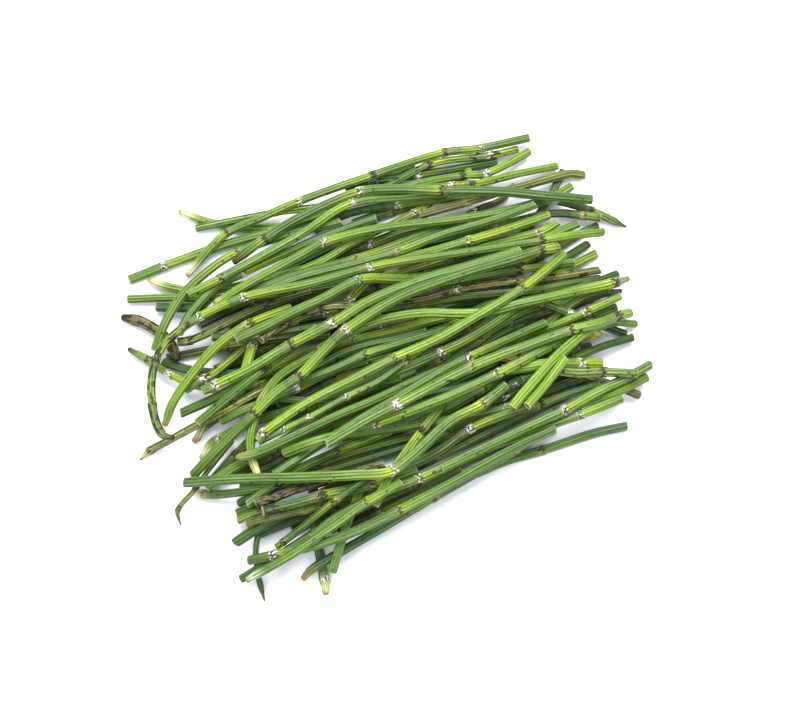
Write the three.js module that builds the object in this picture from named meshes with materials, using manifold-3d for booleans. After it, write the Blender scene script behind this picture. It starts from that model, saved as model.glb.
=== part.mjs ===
import * as THREE from "three";
import { mergeVertices } from "three/addons/utils/BufferGeometryUtils.js";
import Module from "manifold-3d";

// Horsetail, cut and dropped as one loose heap on a flat surface: millimetres, +Z up.
// The stems lie mostly along X, rising to the right, and are laid one upon another in
// the order of the table. The group is left, with its middle on the origin.

const SIDES = 6; // flats round a stem, one of them facing straight down
const FLAT = Math.cos(Math.PI / SIDES); // from a stem's middle to a flat, over its corner radius
const ROUND = 1.08; // corner radius of the six-sided stem over half its diameter
const SHEATH = 1.06; // a sheath at its toothed rim, over the stem below it
const SHEATH_BACK = 0.6; // from a joint back to the widest of its sheath
const SHEATH_ON = 0.8; // from a joint on to the bare stem above it
const GAP = 0.3; // air left between stems that rest on each other
const SINK = 0.6; // how far a stem is pressed into the one it clings to
const STEP = 1.5; // spacing of the points that feel for what lies below
const RING_STEP = 20; // longest stretch of stem between two rings
const RING_APART = 1.2; // rings closer than this are one
const BARE_END = 2; // a joint this near an end has no sheath
const STIFF = 0.3; // share of the straight stick in the lie of a stem, the rest sags
const TUCK = 12; // how far a hidden end runs on under the stems above it
const REMNANT = 5; // a stem isn't cut to save less than this
const PASSES = 40; // how often a stem is lifted a little where it still presses in
const FLOOR_STEMS = 13; // how many of the first stems keep their whole length
const BLUNT = 7; // length over which an uncut end narrows
const LEVEL = 8; // height above the table at which the routes were measured
const LEAN = Math.tan(THREE.MathUtils.degToRad(18)); // sight line of the measuring, off plumb
const HOLLOW = 1.6; // depth of the dimple in a cut end
const CENTRE = [-7.16, -3.43]; // middle of the heap's box in the plan the routes are given in

const TONES = {
  leaf: 0x5c8f34,
  light: 0x8dbb3c,
  deep: 0x35602a,
  olive: 0x6d7d36,
  dry: 0x7d6a42,
};

// Each stem: name, diameter, tone, growth (1 along its route, -1 against it), what its two
// ends are, the stem it clings to, and its route in plan; a 1 marks a joint.
const STEMS = [
  ["f01", 4.6, "deep", 1, "cut cut", "", [[-34, -92], [10, -69.5, 1], [50, -48.5], [72, -37]]],
  ["f02", 4.6, "deep", 1, "cut cut", "", [[-10, -69], [9, -60], [45, -42.5, 1], [80, -25], [94, -18]]],
  ["f03", 5.0, "deep", 1, "cut cut", "", [[-16, -48], [20, -30, 1], [57, -11], [75, -2]]],
  ["f04", 5.0, "olive", 1, "cut cut", "", [[45, -32], [70, -20.5, 1], [88, -13], [96, -9]]],
  ["f05", 5.0, "deep", 1, "cut cut", "", [[-84, -66], [-62, -55.5, 1], [-35, -42], [-14, -31]]],
  ["f07", 5.0, "deep", 1, "cut cut", "", [[-20, 33], [11, 42, 1], [44, 50], [66, 56]]],
  ["f08", 5.0, "deep", 1, "cut cut", "", [[-101, 13], [-74, 27, 1], [-48, 39]]],
  ["f09", 5.0, "deep", 1, "cut cut", "", [[-78, 33], [-60, 42], [-30, 58, 1], [-12, 67]]],
  ["f10", 5.0, "deep", 1, "cut cut", "", [[-72, -32], [-48, -20.5, 1], [-21, -8], [8, 5]]],
  ["a13", 3.8, "olive", 1, "pale cut", "", [[-101, -47], [-97, -41], [-85, -33], [-66, -25]]],
  ["a25", 4.2, "deep", 1, "cut cut", "", [[54, 41], [72, 50, 1], [92, 62], [101, 66.5]]],
  ["a27", 4.2, "deep", 1, "cut cut", "", [[70, 4], [97, 17, 1], [109, 22.5]]],
  ["b29", 4.0, "deep", 1, "cut cut", "", [[-62, -50], [-40, -36, 1], [-15, -21.5], [16, -9.5]]],
  ["g01", 5.0, "deep", 1, "cut cut", "f01", [[-30, -92.5], [-8, -82, 1], [14, -70.5], [30, -62.5]]],
  ["g02", 5.0, "deep", 1, "cut cut", "", [[-26, 8], [-8, 11.5, 1], [14, 17.5]]],
  ["g03", 5.0, "deep", 1, "cut cut", "", [[8, -53], [24, -43, 1], [42, -33.5]]],
  ["g04", 5.0, "deep", 1, "cut cut", "", [[18, 3], [36, 11.5, 1], [54, 21]]],
  ["g05", 4.2, "deep", 1, "cut cut", "", [[76, 18.5], [96, 27, 1], [106, 31.5]]],
  ["g06", 4.6, "deep", 1, "cut cut", "", [[-92, -68], [-80, -54, 1], [-70, -43]]],
  ["g09", 5.0, "deep", 1, "cut cut", "g03", [[36, -33], [52, -23.5, 1], [68, -15]]],
  ["g10", 4.6, "deep", 1, "cut cut", "", [[-56, -69], [-36, -60, 1], [-14, -51.5]]],
  ["g12", 4.6, "deep", 1, "cut cut", "", [[-26, 86.5], [-8, 92.5, 1], [8, 99]]],
  ["g13", 5.0, "deep", 1, "cut cut", "", [[-86, -27], [-70, -18.5, 1], [-56, -10]]],
  ["g14", 5.0, "deep", 1, "cut cut", "", [[-64, -42], [-46, -32, 1], [-30, -24]]],
  ["g16", 5.0, "deep", 1, "cut cut", "b29", [[8, -12], [20, -5.5, 1], [34, 2.5]]],
  ["g19", 4.6, "deep", 1, "cut cut", "", [[-12, 91], [10, 94.5, 1], [30, 98], [50, 102]]],
  ["f11", 5.0, "deep", 1, "cut cut", "", [[4, -27], [30, -15], [54, -3, 1], [73, 6]]],
  ["f12", 4.2, "olive", 1, "pale cut", "a13", [
    [-99, -46], [-96.5, -40], [-92, -35.5], [-78, -30.5, 1], [-60, -22],
  ]],
  ["f13", 5.0, "deep", 1, "cut cut", "", [[-86, 12], [-80, 15], [-50, 28, 1], [-24, 38]]],
  ["f14", 5.0, "deep", 1, "cut cut", "", [[-36, 49], [-14, 57, 1], [5, 64], [28, 67.5]]],
  ["f15", 5.0, "olive", 1, "cut cut", "", [[-14, 47.5], [4, 51], [33, 57, 1], [56, 62]]],
  ["f17", 5.0, "deep", 1, "cut cut", "", [
    [-92, -11], [-72, -1.5], [-60, 4.5, 1], [-38, 12], [-20, 17],
  ]],
  ["f18", 5.0, "deep", 1, "cut cut", "f09", [[-24, 67], [-4, 74.5, 1], [16, 81]]],
  ["f19", 5.0, "deep", 1, "cut cut", "f03", [[6, -41], [21, -32], [42, -20, 1], [58, -11]]],
  ["f21", 5.0, "deep", 1, "cut cut", "", [[56, -28], [70, -22], [90, -14, 1], [98, -10]]],
  ["f22", 5.0, "deep", 1, "cut cut", "g02", [
    [-28, 9], [-12, 13], [8, 17, 1], [26, 24], [45, 27], [60, 30],
  ]],
  ["f25", 5.0, "deep", 1, "cut cut", "f07", [[-36, 22], [-21, 29], [-10, 34, 1], [8, 41]]],
  ["f28", 5.0, "deep", 1, "cut cut", "", [[-60, -29], [-46, -22], [-32, -15, 1], [-16, -7]]],
  ["f29", 5.0, "deep", 1, "cut cut", "", [[-52, -92.5], [-38, -85], [-27, -79, 1], [-8, -69]]],
  ["f30", 5.0, "deep", 1, "cut cut", "f05", [[-78, -67], [-66, -61], [-55, -55, 1], [-36, -45]]],
  ["f31", 5.0, "deep", 1, "cut cut", "f25", [[-62, 12], [-47, 17], [-36, 20, 1], [-18, 26]]],
  ["f34", 4.6, "deep", 1, "cut cut", "", [[-28, 86], [-13, 92], [0, 97, 1], [18, 103]]],
  ["a01", 4.4, "light", 1, "pale cut", "", [
    [-112, 74], [-98, 68.5], [-75, 65], [-45, 68], [-18, 74.5],
  ]],
  ["a02", 4.8, "leaf", 1, "cut cut", "a01", [
    [-137, 37], [-118, 45, 1], [-90, 55.5], [-66, 62.5, 1], [-40, 72], [-14, 81],
  ]],
  ["a03", 4.2, "light", 1, "pale cut", "f09", [
    [-126, 37], [-117, 33.5], [-100, 31], [-70, 36, 1], [-40, 45], [-10, 50],
  ]],
  ["a04", 4.2, "leaf", 1, "cut cut", "f13 f08", [
    [-137, 27], [-112, 28], [-85, 27.5, 1], [-55, 30], [-25, 36],
  ]],
  ["a05", 4.4, "deep", 1, "cut cut", "", [
    [-122, 21.5], [-105, 22.5], [-85, 27, 1], [-60, 33], [-35, 41],
  ]],
  ["a06", 4.2, "olive", 1, "cut cut", "f17", [
    [-116, -4.5], [-101, -1.5], [-85, 1.5, 1], [-60, 6], [-35, 8],
  ]],
  ["a07", 4.4, "deep", 1, "cut cut", "g13 f17", [
    [-118, -6], [-104, -10.5], [-88, -12.5], [-65, -12, 1], [-35, -8],
  ]],
  ["a08", 4.0, "light", 1, "dry cut", "f12", [
    [-135, 0.5], [-124, -5.5, 1], [-113, -12.5, 1], [-104, -17], [-92, -20.5], [-70, -24], [-45, -26],
  ]],
  ["a09", 5.6, "dry", -1, "dry dry", "", [[-139, 17], [-129, 14.5], [-120, 9], [-114, 3], [-110, -5]]],
  ["a10", 4.2, "olive", 1, "cut cut", "", [
    [-110, 3.5], [-103.5, 4.5, 1], [-93, 9.5], [-80, 17], [-66, 24], [-45, 31],
  ]],
  ["a11", 3.8, "leaf", 1, "cut cut", "a06", [
    [-105, -20], [-95, -14.5, 1], [-82, -4], [-74, 3.5], [-60, 13, 1], [-42, 20],
  ]],
  ["a14", 4.4, "leaf", 1, "pale cut", "a08", [
    [-97, -55.5], [-93, -49], [-88, -45.5, 1], [-72, -37], [-50, -29, 1], [-25, -20], [0, -14],
  ]],
  ["a15", 4.0, "deep", 1, "cut cut", "g10", [
    [-78, -70], [-62, -67.5], [-40, -58, 1], [-15, -50], [10, -44],
  ]],
  ["a16", 4.2, "leaf", -1, "pale cut", "", [
    [-100, -71.5], [-95.5, -74.5, 1], [-80, -75], [-60, -72], [-38, -64, 1], [-15, -56],
  ]],
  ["a17", 4.0, "deep", 1, "cut cut", "a16", [
    [-78, -79], [-66, -74], [-45, -66, 1], [-20, -58], [5, -50],
  ]],
  ["a19", 4.6, "deep", 1, "cut cut", "f29", [
    [-69, -94.5], [-50, -86.5], [-30, -79, 1], [-8, -70], [15, -60], [40, -49],
  ]],
  ["a20", 4.4, "leaf", 1, "cut cut", "", [
    [-12, -91], [20, -73, 1], [48, -59], [70, -52, 1], [95, -43.5], [112, -39.5],
  ]],
  ["a21", 4.6, "deep", -1, "pale cut", "", [
    [-35.5, -122.5], [-36, -117, 1], [-39, -100], [-41, -85], [-42, -66],
  ]],
  ["a22", 3.0, "deep", -1, "tip cut", "", [[-65, -126], [-68, -114], [-69, -100], [-66, -84]]],
  ["a23", 4.2, "deep", 1, "cut cut", "a21", [
    [-76, -115.5], [-62, -106.5], [-40, -92, 1], [-18, -80], [5, -70],
  ]],
  ["a24", 4.2, "dry", 1, "cut cut", "f21", [[35, 0], [60, -6], [85, -12], [105, -18.5, 1], [118, -24]]],
  ["a26", 4.2, "deep", 1, "cut cut", "f22", [[20, 12], [40, 22], [62, 35, 1], [84, 49], [95.5, 56.5]]],
  ["a28", 4.0, "deep", 1, "cut cut", "a24", [[10, -24], [35, -18], [60, -8, 1], [84, -1], [94.5, 2.5]]],
  ["a29", 4.0, "deep", 1, "cut cut", "f07", [[44, 40], [54, 52], [66, 66, 1], [76, 81], [84, 97]]],
  ["a30", 4.2, "leaf", 1, "cut cut", "a29", [
    [0, 40], [22, 50], [40, 62], [52, 70.5, 1], [76, 80.5], [88, 88],
  ]],
  ["a32", 4.2, "light", 1, "cut cut", "a03", [
    [-60, 37], [-38, 47], [-25, 56], [8, 73.5, 1], [22, 85], [36, 97],
  ]],
  ["a34", 3.2, "dry", 1, "cut dry", "", [[25, 66], [39, 75, 1], [52, 81], [58, 89]]],
  ["a35", 4.2, "deep", 1, "cut cut", "", [[40, 3], [60, 14, 1], [82, 26], [100, 34]]],
  ["a36", 4.0, "deep", 1, "cut cut", "a28", [[30, -32], [45, -24], [57, -17, 1], [75, -8], [88, 2]]],
  ["a37", 4.8, "light", -1, "cut cut", "a08", [
    [-80, -32], [-77, -20], [-75, -8], [-73, 1, 1], [-71, 6],
  ]],
  ["b01", 3.6, "olive", 1, "cut cut", "g19 a01", [
    [-104, 65], [-63, 73.5, 1], [-35, 78], [-10, 86], [16, 100, 1], [47, 105, 1], [61, 109],
  ]],
  ["b02", 4.4, "leaf", 1, "cut cut", "", [
    [-109, 8], [-103, 20], [-92, 33], [-78, 41, 1], [-60, 50], [-38, 60], [-12, 70],
  ]],
  ["b03", 4.2, "deep", 1, "cut cut", "a32", [[-50, 60], [-27, 72.5], [0, 78, 1], [28, 81], [60, 84]]],
  ["b04", 4.2, "leaf", 1, "cut cut", "a32", [
    [-8, 84], [12, 90], [33, 94, 1], [45, 95.5, 1], [66.5, 107.5],
  ]],
  ["b05", 3.8, "light", 1, "cut cut", "", [
    [-20, 84], [5, 86.5], [27, 88.5, 1], [38, 89.5, 1], [60, 95], [81, 99.5],
  ]],
  ["b06", 4.4, "olive", 1, "cut cut", "a29 b03", [
    [10, 72], [35, 79, 1], [60, 86.5], [87, 95], [94.5, 94.5],
  ]],
  ["b07", 4.2, "deep", 1, "cut tip", "", [[15, 84], [45, 85.5, 1], [80, 80], [98, 74.5, 1], [115, 66]]],
  ["b08", 4.2, "deep", 1, "cut cut", "", [
    [-10, 52], [20, 58], [50, 66, 1], [78, 73], [94, 72, 1], [102, 71],
  ]],
  ["b09", 4.4, "light", 1, "cut cut", "", [[-15, 36], [15, 46], [45, 56], [71, 63, 1], [80, 68.5]]],
  ["b10", 4.4, "leaf", 1, "cut cut", "", [[40, 44], [65, 56, 1], [90, 67.5]]],
  ["b11", 4.4, "light", 1, "cut cut", "", [[55, 30], [75, 39, 1], [88, 45.5], [100, 51.5]]],
  ["b12", 4.0, "deep", 1, "cut cut", "", [[40, 36], [62, 45.5, 1], [76, 53.5], [84, 60]]],
  ["b13", 4.2, "deep", 1, "cut cut", "a26", [
    [-12, 20], [10, 23.5, 1], [35, 28], [60, 31, 1], [80, 34.5], [101, 38],
  ]],
  ["b14", 4.2, "deep", 1, "cut cut", "b13", [[60, 20], [75, 27, 1], [98, 36], [109.5, 40.5]]],
  ["b15", 4.0, "deep", 1, "cut dry", "", [[55, 14], [75, 21, 1], [95, 28], [111, 31]]],
  ["b16", 4.2, "deep", 1, "cut cut", "b15", [[50, -4], [72, 13, 1], [90, 27], [104, 31.5]]],
  ["b17", 4.2, "deep", 1, "cut cut", "b15 a35", [[15, -14], [40, 6, 1], [58, 18.5], [75, 24.5]]],
  ["b18", 4.0, "deep", 1, "cut cut", "b16", [[70, 24], [85, 19, 1], [100, 13], [113, 8]]],
  ["b19", 4.0, "leaf", 1, "cut cut", "b18", [[75, 4], [92, 10, 1], [106, 14], [118, 13.5]]],
  ["b20", 4.0, "deep", 1, "cut cut", "a36", [[60, -15], [85, -4.5, 1], [100, 2], [116.5, 7]]],
  ["b21", 4.0, "olive", 1, "cut pale", "a36", [[65, -6], [88, 4, 1], [99, 9]]],
  ["b22", 4.4, "leaf", 1, "cut cut", "a24", [[55, -41], [88, -28.5, 1], [105, -22.5], [122, -14.5]]],
  ["b23", 4.2, "deep", 1, "cut cut", "", [
    [-15, -70], [20, -54, 1], [45, -41], [70, -27.5, 1], [98, -17],
  ]],
  ["b25", 4.4, "deep", -1, "pale cut", "a20 a21", [
    [-46, -115], [-42, -110.5], [-30, -103], [-15, -94], [15.5, -75.5, 1], [35, -64], [55, -52.5, 1],
    [76, -39.5],
  ]],
  ["b26", 4.0, "deep", 1, "cut cut", "", [
    [-79, -84], [-68, -79.5], [-50, -73, 1], [-25, -64], [0, -55],
  ]],
  ["b27", 4.0, "leaf", 1, "cut cut", "", [[-78, -86.5], [-66, -82], [-45, -76.5, 1], [-20, -72]]],
  ["b28", 5.0, "deep", 1, "cut cut", "a21", [
    [-79, -98], [-65, -88.5], [-45, -77, 1], [-22, -66], [0, -57],
  ]],
  ["b30", 4.0, "light", 1, "cut cut", "", [[-38, 12], [-24, 27.5, 1], [-10, 42], [5, 58]]],
  ["b31", 4.2, "deep", 1, "cut cut", "a37 b30", [[-92.5, 6.5], [-70, 7.5, 1], [-38, 13.5], [-10, 18]]],
  ["b32", 4.4, "leaf", 1, "cut cut", "f28 a08", [
    [-87, -35.5], [-68, -28.5], [-49, -19, 1], [-33, -11], [-15, -5], [10, 3],
  ]],
  ["b33", 4.6, "deep", 1, "cut cut", "a37", [
    [-107, -33], [-90, -25], [-70, -14, 1], [-50, -4], [-30, 4],
  ]],
  ["b34", 4.8, "leaf", 1, "cut cut", "f05", [
    [-94, -70.5], [-80, -60], [-60, -50, 1], [-38, -41], [-12, -30, 1], [10, -20],
  ]],
  ["b35", 4.2, "leaf", 1, "cut cut", "a15", [
    [-73, -79], [-60, -69, 1], [-48, -61], [-30, -52, 1], [-5, -42],
  ]],
  ["b36", 4.4, "olive", 1, "cut cut", "b28", [[-73, -88], [-60, -84], [-45, -79.5, 1], [-25, -74]]],
  ["b37", 4.2, "leaf", 1, "cut cut", "b25", [[-32.5, -112], [-28, -96], [-22, -78, 1], [-14, -60]]],
  ["c01", 4.2, "leaf", -1, "pale cut", "a02", [
    [-107, 40], [-89, 61, 1], [-71, 70], [-52, 79, 1], [-15, 93, 1], [22, 106, 1], [40, 108.5, 1],
    [67, 115],
  ]],
  ["c02", 4.6, "leaf", -1, "cut cut", "", [
    [-121, 0], [-117, 12], [-108, 29], [-94, 43], [-82, 51, 1], [-60, 60], [-30, 68],
  ]],
  ["c03", 4.4, "leaf", -1, "cut cut", "b02", [
    [-105, 29], [-90, 37, 1], [-50, 61], [-25, 78, 1], [5, 82], [30, 83.5],
  ]],
  ["c05", 4.4, "leaf", 1, "cut cut", "b08 a32", [
    [-82, 29], [-50, 40], [-22, 48, 1], [0, 56], [12, 61.5], [34, 69.5],
  ]],
  ["c04", 4.4, "leaf", 1, "pale cut", "", [
    [-95, 22.5], [-90, 25.5, 1], [-75, 35], [-50, 50], [-37, 57.5, 1], [-10, 64.5], [30, 69.5],
    [50, 73], [74, 79.5],
  ]],
  ["c06", 4.2, "leaf", 1, "cut cut", "", [
    [-85, 22], [-50, 36.5], [-20, 45], [0, 51.5, 1], [20, 60], [45, 68], [68, 77],
  ]],
  ["c07", 4.6, "light", 1, "cut cut", "", [[-20, 40], [10, 49.5], [35, 57.5, 1], [55, 64], [75, 71.5]]],
  ["c08", 4.2, "leaf", 1, "cut cut", "b12 b11", [[20, 34], [45, 39], [60.5, 42, 1], [87.5, 46.5]]],
  ["c09", 4.0, "dry", 1, "cut cut", "b11", [
    [-68, 5], [-55, 14.5, 1], [-38, 21.5, 1], [-20, 23], [10, 26.5], [29.5, 32, 1], [58.5, 36.5, 1],
    [80, 39], [100.5, 42.5],
  ]],
  ["c10", 4.2, "light", 1, "cut cut", "", [
    [-42, -3], [-30, 2.5], [-22, 5.5, 1], [0, 11], [12, 14.5], [26, 17.5],
  ]],
  ["c11", 4.2, "deep", 1, "cut cut", "", [
    [-45, -12], [-30, -2.5], [-18, 2], [0, 6.5], [15, 11], [26, 14],
  ]],
  ["c12", 4.4, "leaf", 1, "cut cut", "b32", [
    [-50, -17], [-30, -8.5], [-17, -2, 1], [0, 4], [25, 13, 1], [45, 22.5],
  ]],
  ["c13", 4.4, "leaf", 1, "pale cut", "b17", [
    [-45, -25], [-25, -21], [-5, -12.5], [21, -1, 1], [35, 6], [50, 17], [62, 24],
  ]],
  ["c14", 4.6, "light", 1, "pale cut", "a11", [
    [-115.5, -38], [-112, -28], [-106, -18], [-97, -6], [-88, 3.5], [-74, 13, 1], [-55, 22],
  ]],
  ["c15", 3.8, "olive", -1, "tip cut", "", [
    [-127, -56.5], [-122.5, -52, 1], [-112, -46], [-98, -37.5], [-80, -28, 1], [-58, -16],
  ]],
  ["c16", 4.2, "light", -1, "pale cut", "", [
    [-68, -64.5], [-71, -56], [-72, -45], [-69, -32], [-66, -24], [-58, -13], [-45, -4], [-30, 5],
  ]],
  ["c17", 4.0, "light", 1, "cut cut", "b18", [[55, 4], [80, 15], [92.5, 20.5, 1], [110, 28.5]]],
  ["c18", 5.4, "light", 1, "cut cut", "b20", [[50, -11], [75, -7], [89, -6.5, 1], [99, -7]]],
  ["c19", 4.2, "leaf", 1, "cut cut", "", [
    [-40, -47], [-10, -42], [10, -38.5], [30, -34.5], [52.5, -29.5, 1], [67.5, -28.5],
  ]],
  ["c20", 4.4, "olive", 1, "cut cut", "", [
    [-8, -64], [15, -53.5], [35, -39.5, 1], [50, -33], [62, -29],
  ]],
  ["c21", 4.4, "dry", 1, "cut cut", "", [
    [-69, -78], [-60, -75.5, 1], [-51, -71.5], [-30, -65], [-8, -58],
  ]],
  ["c22", 5.0, "leaf", 1, "cut cut", "b36", [
    [-65, -82], [-36.5, -73.5, 1], [-20, -69.5], [-13, -67.5, 1], [8, -60],
  ]],
  ["c23", 2.6, "olive", -1, "tip cut", "", [
    [-106, -89], [-107.5, -82, 1], [-99, -71, 1], [-94, -63], [-88, -54.5], [-82, -46.5],
  ]],
  ["c24", 4.4, "leaf", 1, "cut cut", "b37", [
    [-42, -94], [-30, -84], [-10, -73], [10, -64.5, 1], [30, -55], [50, -46.5], [88.5, -32.5, 1],
    [108, -24.5],
  ]],
  ["c25", 4.6, "light", 1, "cut cut", "", [
    [20, -60], [40, -50], [60, -40], [80.5, -30, 1], [95, -21], [112, -14], [124, -8],
  ]],
  ["c26", 4.6, "olive", 1, "cut cut", "c25", [[73, -15], [100, -12.5, 1], [116, -12]]],
  ["c27", 3.4, "deep", -1, "cut cut", "", [
    [-59, -99.5], [-56, -97, 1], [-44, -87], [-31, -75.5, 1], [-12, -62],
  ]],
  ["c28", 4.4, "light", -1, "cut cut", "c19", [
    [-12, -77.5], [-5, -63], [2, -53], [11, -41, 1], [22, -27],
  ]],
  ["d01", 4.8, "leaf", -1, "dry cut", "c03 c02", [
    [-83, 47], [-69, 58, 1], [-50, 70.5], [-21, 84, 1], [0, 85.5], [20, 84.5, 1], [50, 83.5], [75, 81],
    [97, 79],
  ]],
  ["d02", 4.2, "leaf", 1, "dry cut", "c06", [
    [-110, -44], [-115, -42.5], [-118.5, -36], [-120.5, -27, 1], [-121.2, -15], [-119.2, -4, 1],
    [-114, 5], [-98, 18, 1], [-76, 28, 1], [-45, 34.5], [-14, 43, 1], [25, 49.5], [72, 57, 1],
    [103, 62],
  ]],
  ["d03", 4.8, "leaf", 1, "cut cut", "c09", [
    [-80, 7], [-60, 17], [-40, 26], [-19, 36.5, 1], [0, 37], [18, 38],
  ]],
  ["d04", 4.8, "leaf", -1, "cut dry", "b18", [
    [-40, 0], [-26, 8.5], [-10, 15], [10, 18.5], [39, 18.5, 1], [60, 23.5], [85, 29.5], [105, 34, 1],
    [114, 37],
  ]],
  ["d08", 4.4, "leaf", 1, "pale cut", "c16", [
    [-78, -55], [-68, -52], [-50, -43.5], [-30, -33.5], [-12, -25.5], [5, -17], [22, -9],
  ]],
  ["d05", 3.4, "leaf", 1, "cut cut", "c13", [
    [-68, -47], [-55, -40, 1], [-43, -34, 1], [-25, -23.5, 1], [-10, -15.5], [3.5, -5.5, 1], [14, 1],
    [24, 8], [34, 14.5],
  ]],
  ["d06", 4.6, "leaf", 1, "cut cut", "", [
    [-60, -65], [-40, -50.5], [-20, -37], [0, -24], [20, -11], [34.5, -3, 1], [55, 7], [72, 15],
  ]],
  ["d07", 4.8, "leaf", 1, "cut cut", "c18", [
    [-55, -54], [-30, -45], [-11, -38, 1], [10, -30], [28, -22.5], [48, -12.5, 1], [74, 2], [92, 13],
  ]],
  ["d10", 4.4, "leaf", 1, "cut cut", "", [
    [-98, -35], [-80, -21], [-66, -10.5, 1], [-52, -0.5], [-40, 8.5], [-30, 15],
  ]],
  ["d09", 4.8, "leaf", 1, "cut cut", "d10", [
    [-95, -22], [-88, -18.5, 1], [-70, -9], [-52, 2.5, 1], [-32.5, 13.5, 1], [-15, 25], [10, 36],
    [35, 44], [60, 52.5],
  ]],
  ["d11", 4.4, "light", 1, "cut cut", "d04", [
    [-68, -46], [-65, -42, 1], [-45, -27.5], [-20, -14], [-2.5, -4.5, 1], [18, 5], [38, 17],
    [60, 31, 1], [82, 49.5],
  ]],
  ["d12", 4.4, "leaf", 1, "cut cut", "", [
    [-72, -106], [-59, -102.5, 1], [-40, -97.5], [-20, -90], [0, -80, 1], [25, -66.5], [50, -52],
    [75, -39.5],
  ]],
  ["d13", 4.8, "light", 1, "cut cut", "c26", [[54, -29.5], [60, -22], [75, -5], [88, 8], [97, 14]]],
  ["d14", 4.2, "light", 1, "cut cut", "", [[61, -29.5], [67, -22], [73, -14], [80, -4]]],
  ["e01", 4.8, "light", 1, "cut cut", "d13", [
    [-35, -49], [-15, -36.5], [-0.5, -28.5, 1], [35, -9, 1], [60, 1.5], [84.5, 11, 1], [107.5, 17.5, 1],
    [114, 18.5],
  ]],
  ["e02", 5.0, "leaf", 1, "cut cut", "d09 c16", [
    [-100, -64], [-85, -48], [-69, -31.5, 1], [-60, -22], [-48, -13, 1], [-37, -0.5], [-26, 10.5, 1],
    [0, 27.5], [25, 38], [50, 46.5], [71, 52.5, 1], [78.5, 53.5],
  ]],
  ["e03", 4.8, "leaf", -1, "cut cut", "d06", [
    [-104, -68], [-85, -66.5], [-50, -65], [-20, -62.5], [-4.5, -60.5, 1], [6.5, -52.5], [24, -36],
    [39.5, -27.5, 1], [51.5, -18],
  ]],
  ["e04", 4.2, "leaf", 1, "pale cut", "d12 c28", [
    [-72, -114.5], [-50, -101], [-30, -86.5], [-15, -75, 1], [0, -66],
  ]],
];

// A smooth route through the given points: each run between two of them is a cubic whose
// slope at a point is that of the line joining its neighbours.
function routeOf(points) {
  const at = [0];
  for (let i = 1; i < points.length; i++) {
    const [a, b] = [points[i - 1], points[i]];
    at.push(at[i - 1] + Math.hypot(b[0] - a[0], b[1] - a[1]));
  }
  const last = points.length - 1;
  const slope = points.map((p, i) => {
    const [lo, hi] = [Math.max(i - 1, 0), Math.min(i + 1, last)];
    const run = at[hi] - at[lo];
    return [(points[hi][0] - points[lo][0]) / run, (points[hi][1] - points[lo][1]) / run];
  });
  const point = (s) => {
    let i = 0;
    while (i < last - 1 && s > at[i + 1]) i++;
    const run = at[i + 1] - at[i];
    const t = (s - at[i]) / run;
    const w = [1 - 3 * t * t + 2 * t ** 3, (t - 2 * t * t + t ** 3) * run];
    w.push(3 * t * t - 2 * t ** 3, (t ** 3 - t * t) * run);
    return [0, 1].map(
      (k) =>
        w[0] * points[i][k] + w[1] * slope[i][k] + w[2] * points[i + 1][k] + w[3] * slope[i + 1][k],
    );
  };
  return { at, point, length: at[last] };
}

// The stretch of each stem that is built: where it shows, and TUCK more at each hidden end.
function shownOf(routes) {
  const feel = routes.map((route) => {
    const count = Math.ceil(route.length / STEP);
    return [...Array(count + 1).keys()].map((i) => {
      const s = (route.length * i) / count;
      return [s, ...route.point(s)];
    });
  });
  return feel.map((points, n) => {
    const clear = points.filter(([, x, y]) =>
      feel.slice(n + 1).every((over, k) => {
        const cover = STEMS[n + 1 + k][1] * 0.5;
        return over.every(([, a, b]) => Math.hypot(a - x, b - y) > cover);
      }),
    );
    const { length } = routes[n];
    if (!clear.length || n < FLOOR_STEMS) return [0, length];
    const [first, last] = [clear[0][0], clear[clear.length - 1][0]];
    return [
      first < TUCK + REMNANT ? 0 : first - TUCK,
      last > length - TUCK - REMNANT ? length : last + TUCK,
    ];
  });
}

// Where a stem has its rings, and how wide it is there: both ends, the widest of each sheath,
// the bare stem above it, and as many between as keep the stretches short.
function ringsOf(diameter, growth, ends, points, route, [from, to]) {
  const rings = [];
  const taper = { cut: 1, pale: 0.72, dry: 0.62, tip: 0.3 };
  rings.push([from, taper[ends[0]]], [to, taper[ends[1]]]);
  if (ends[0] !== "cut") rings.push([from + BLUNT, 1]);
  if (ends[1] !== "cut") rings.push([to - BLUNT, 1]);
  points.forEach((p, i) => {
    if (!p[2] || route.at[i] < from + BARE_END || route.at[i] > to - BARE_END) return;
    rings.push([route.at[i] - growth * SHEATH_BACK, SHEATH]);
    rings.push([route.at[i] + growth * SHEATH_ON, 1]);
  });
  rings.sort((a, b) => a[0] - b[0]);
  const near = rings.filter((r, i) => i === 0 || r[0] - rings[i - 1][0] > RING_APART);
  const all = [near[0]];
  for (let i = 1; i < near.length; i++) {
    const [from, to] = [near[i - 1], near[i]];
    const parts = Math.ceil((to[0] - from[0]) / RING_STEP);
    for (let k = 1; k <= parts; k++) {
      const t = k / parts;
      all.push([from[0] + (to[0] - from[0]) * t, from[1] + (to[1] - from[1]) * t]);
    }
  }
  return all.map(([s, wide]) => ({ s, wide, radius: (wide * diameter) / 2 }));
}

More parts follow.
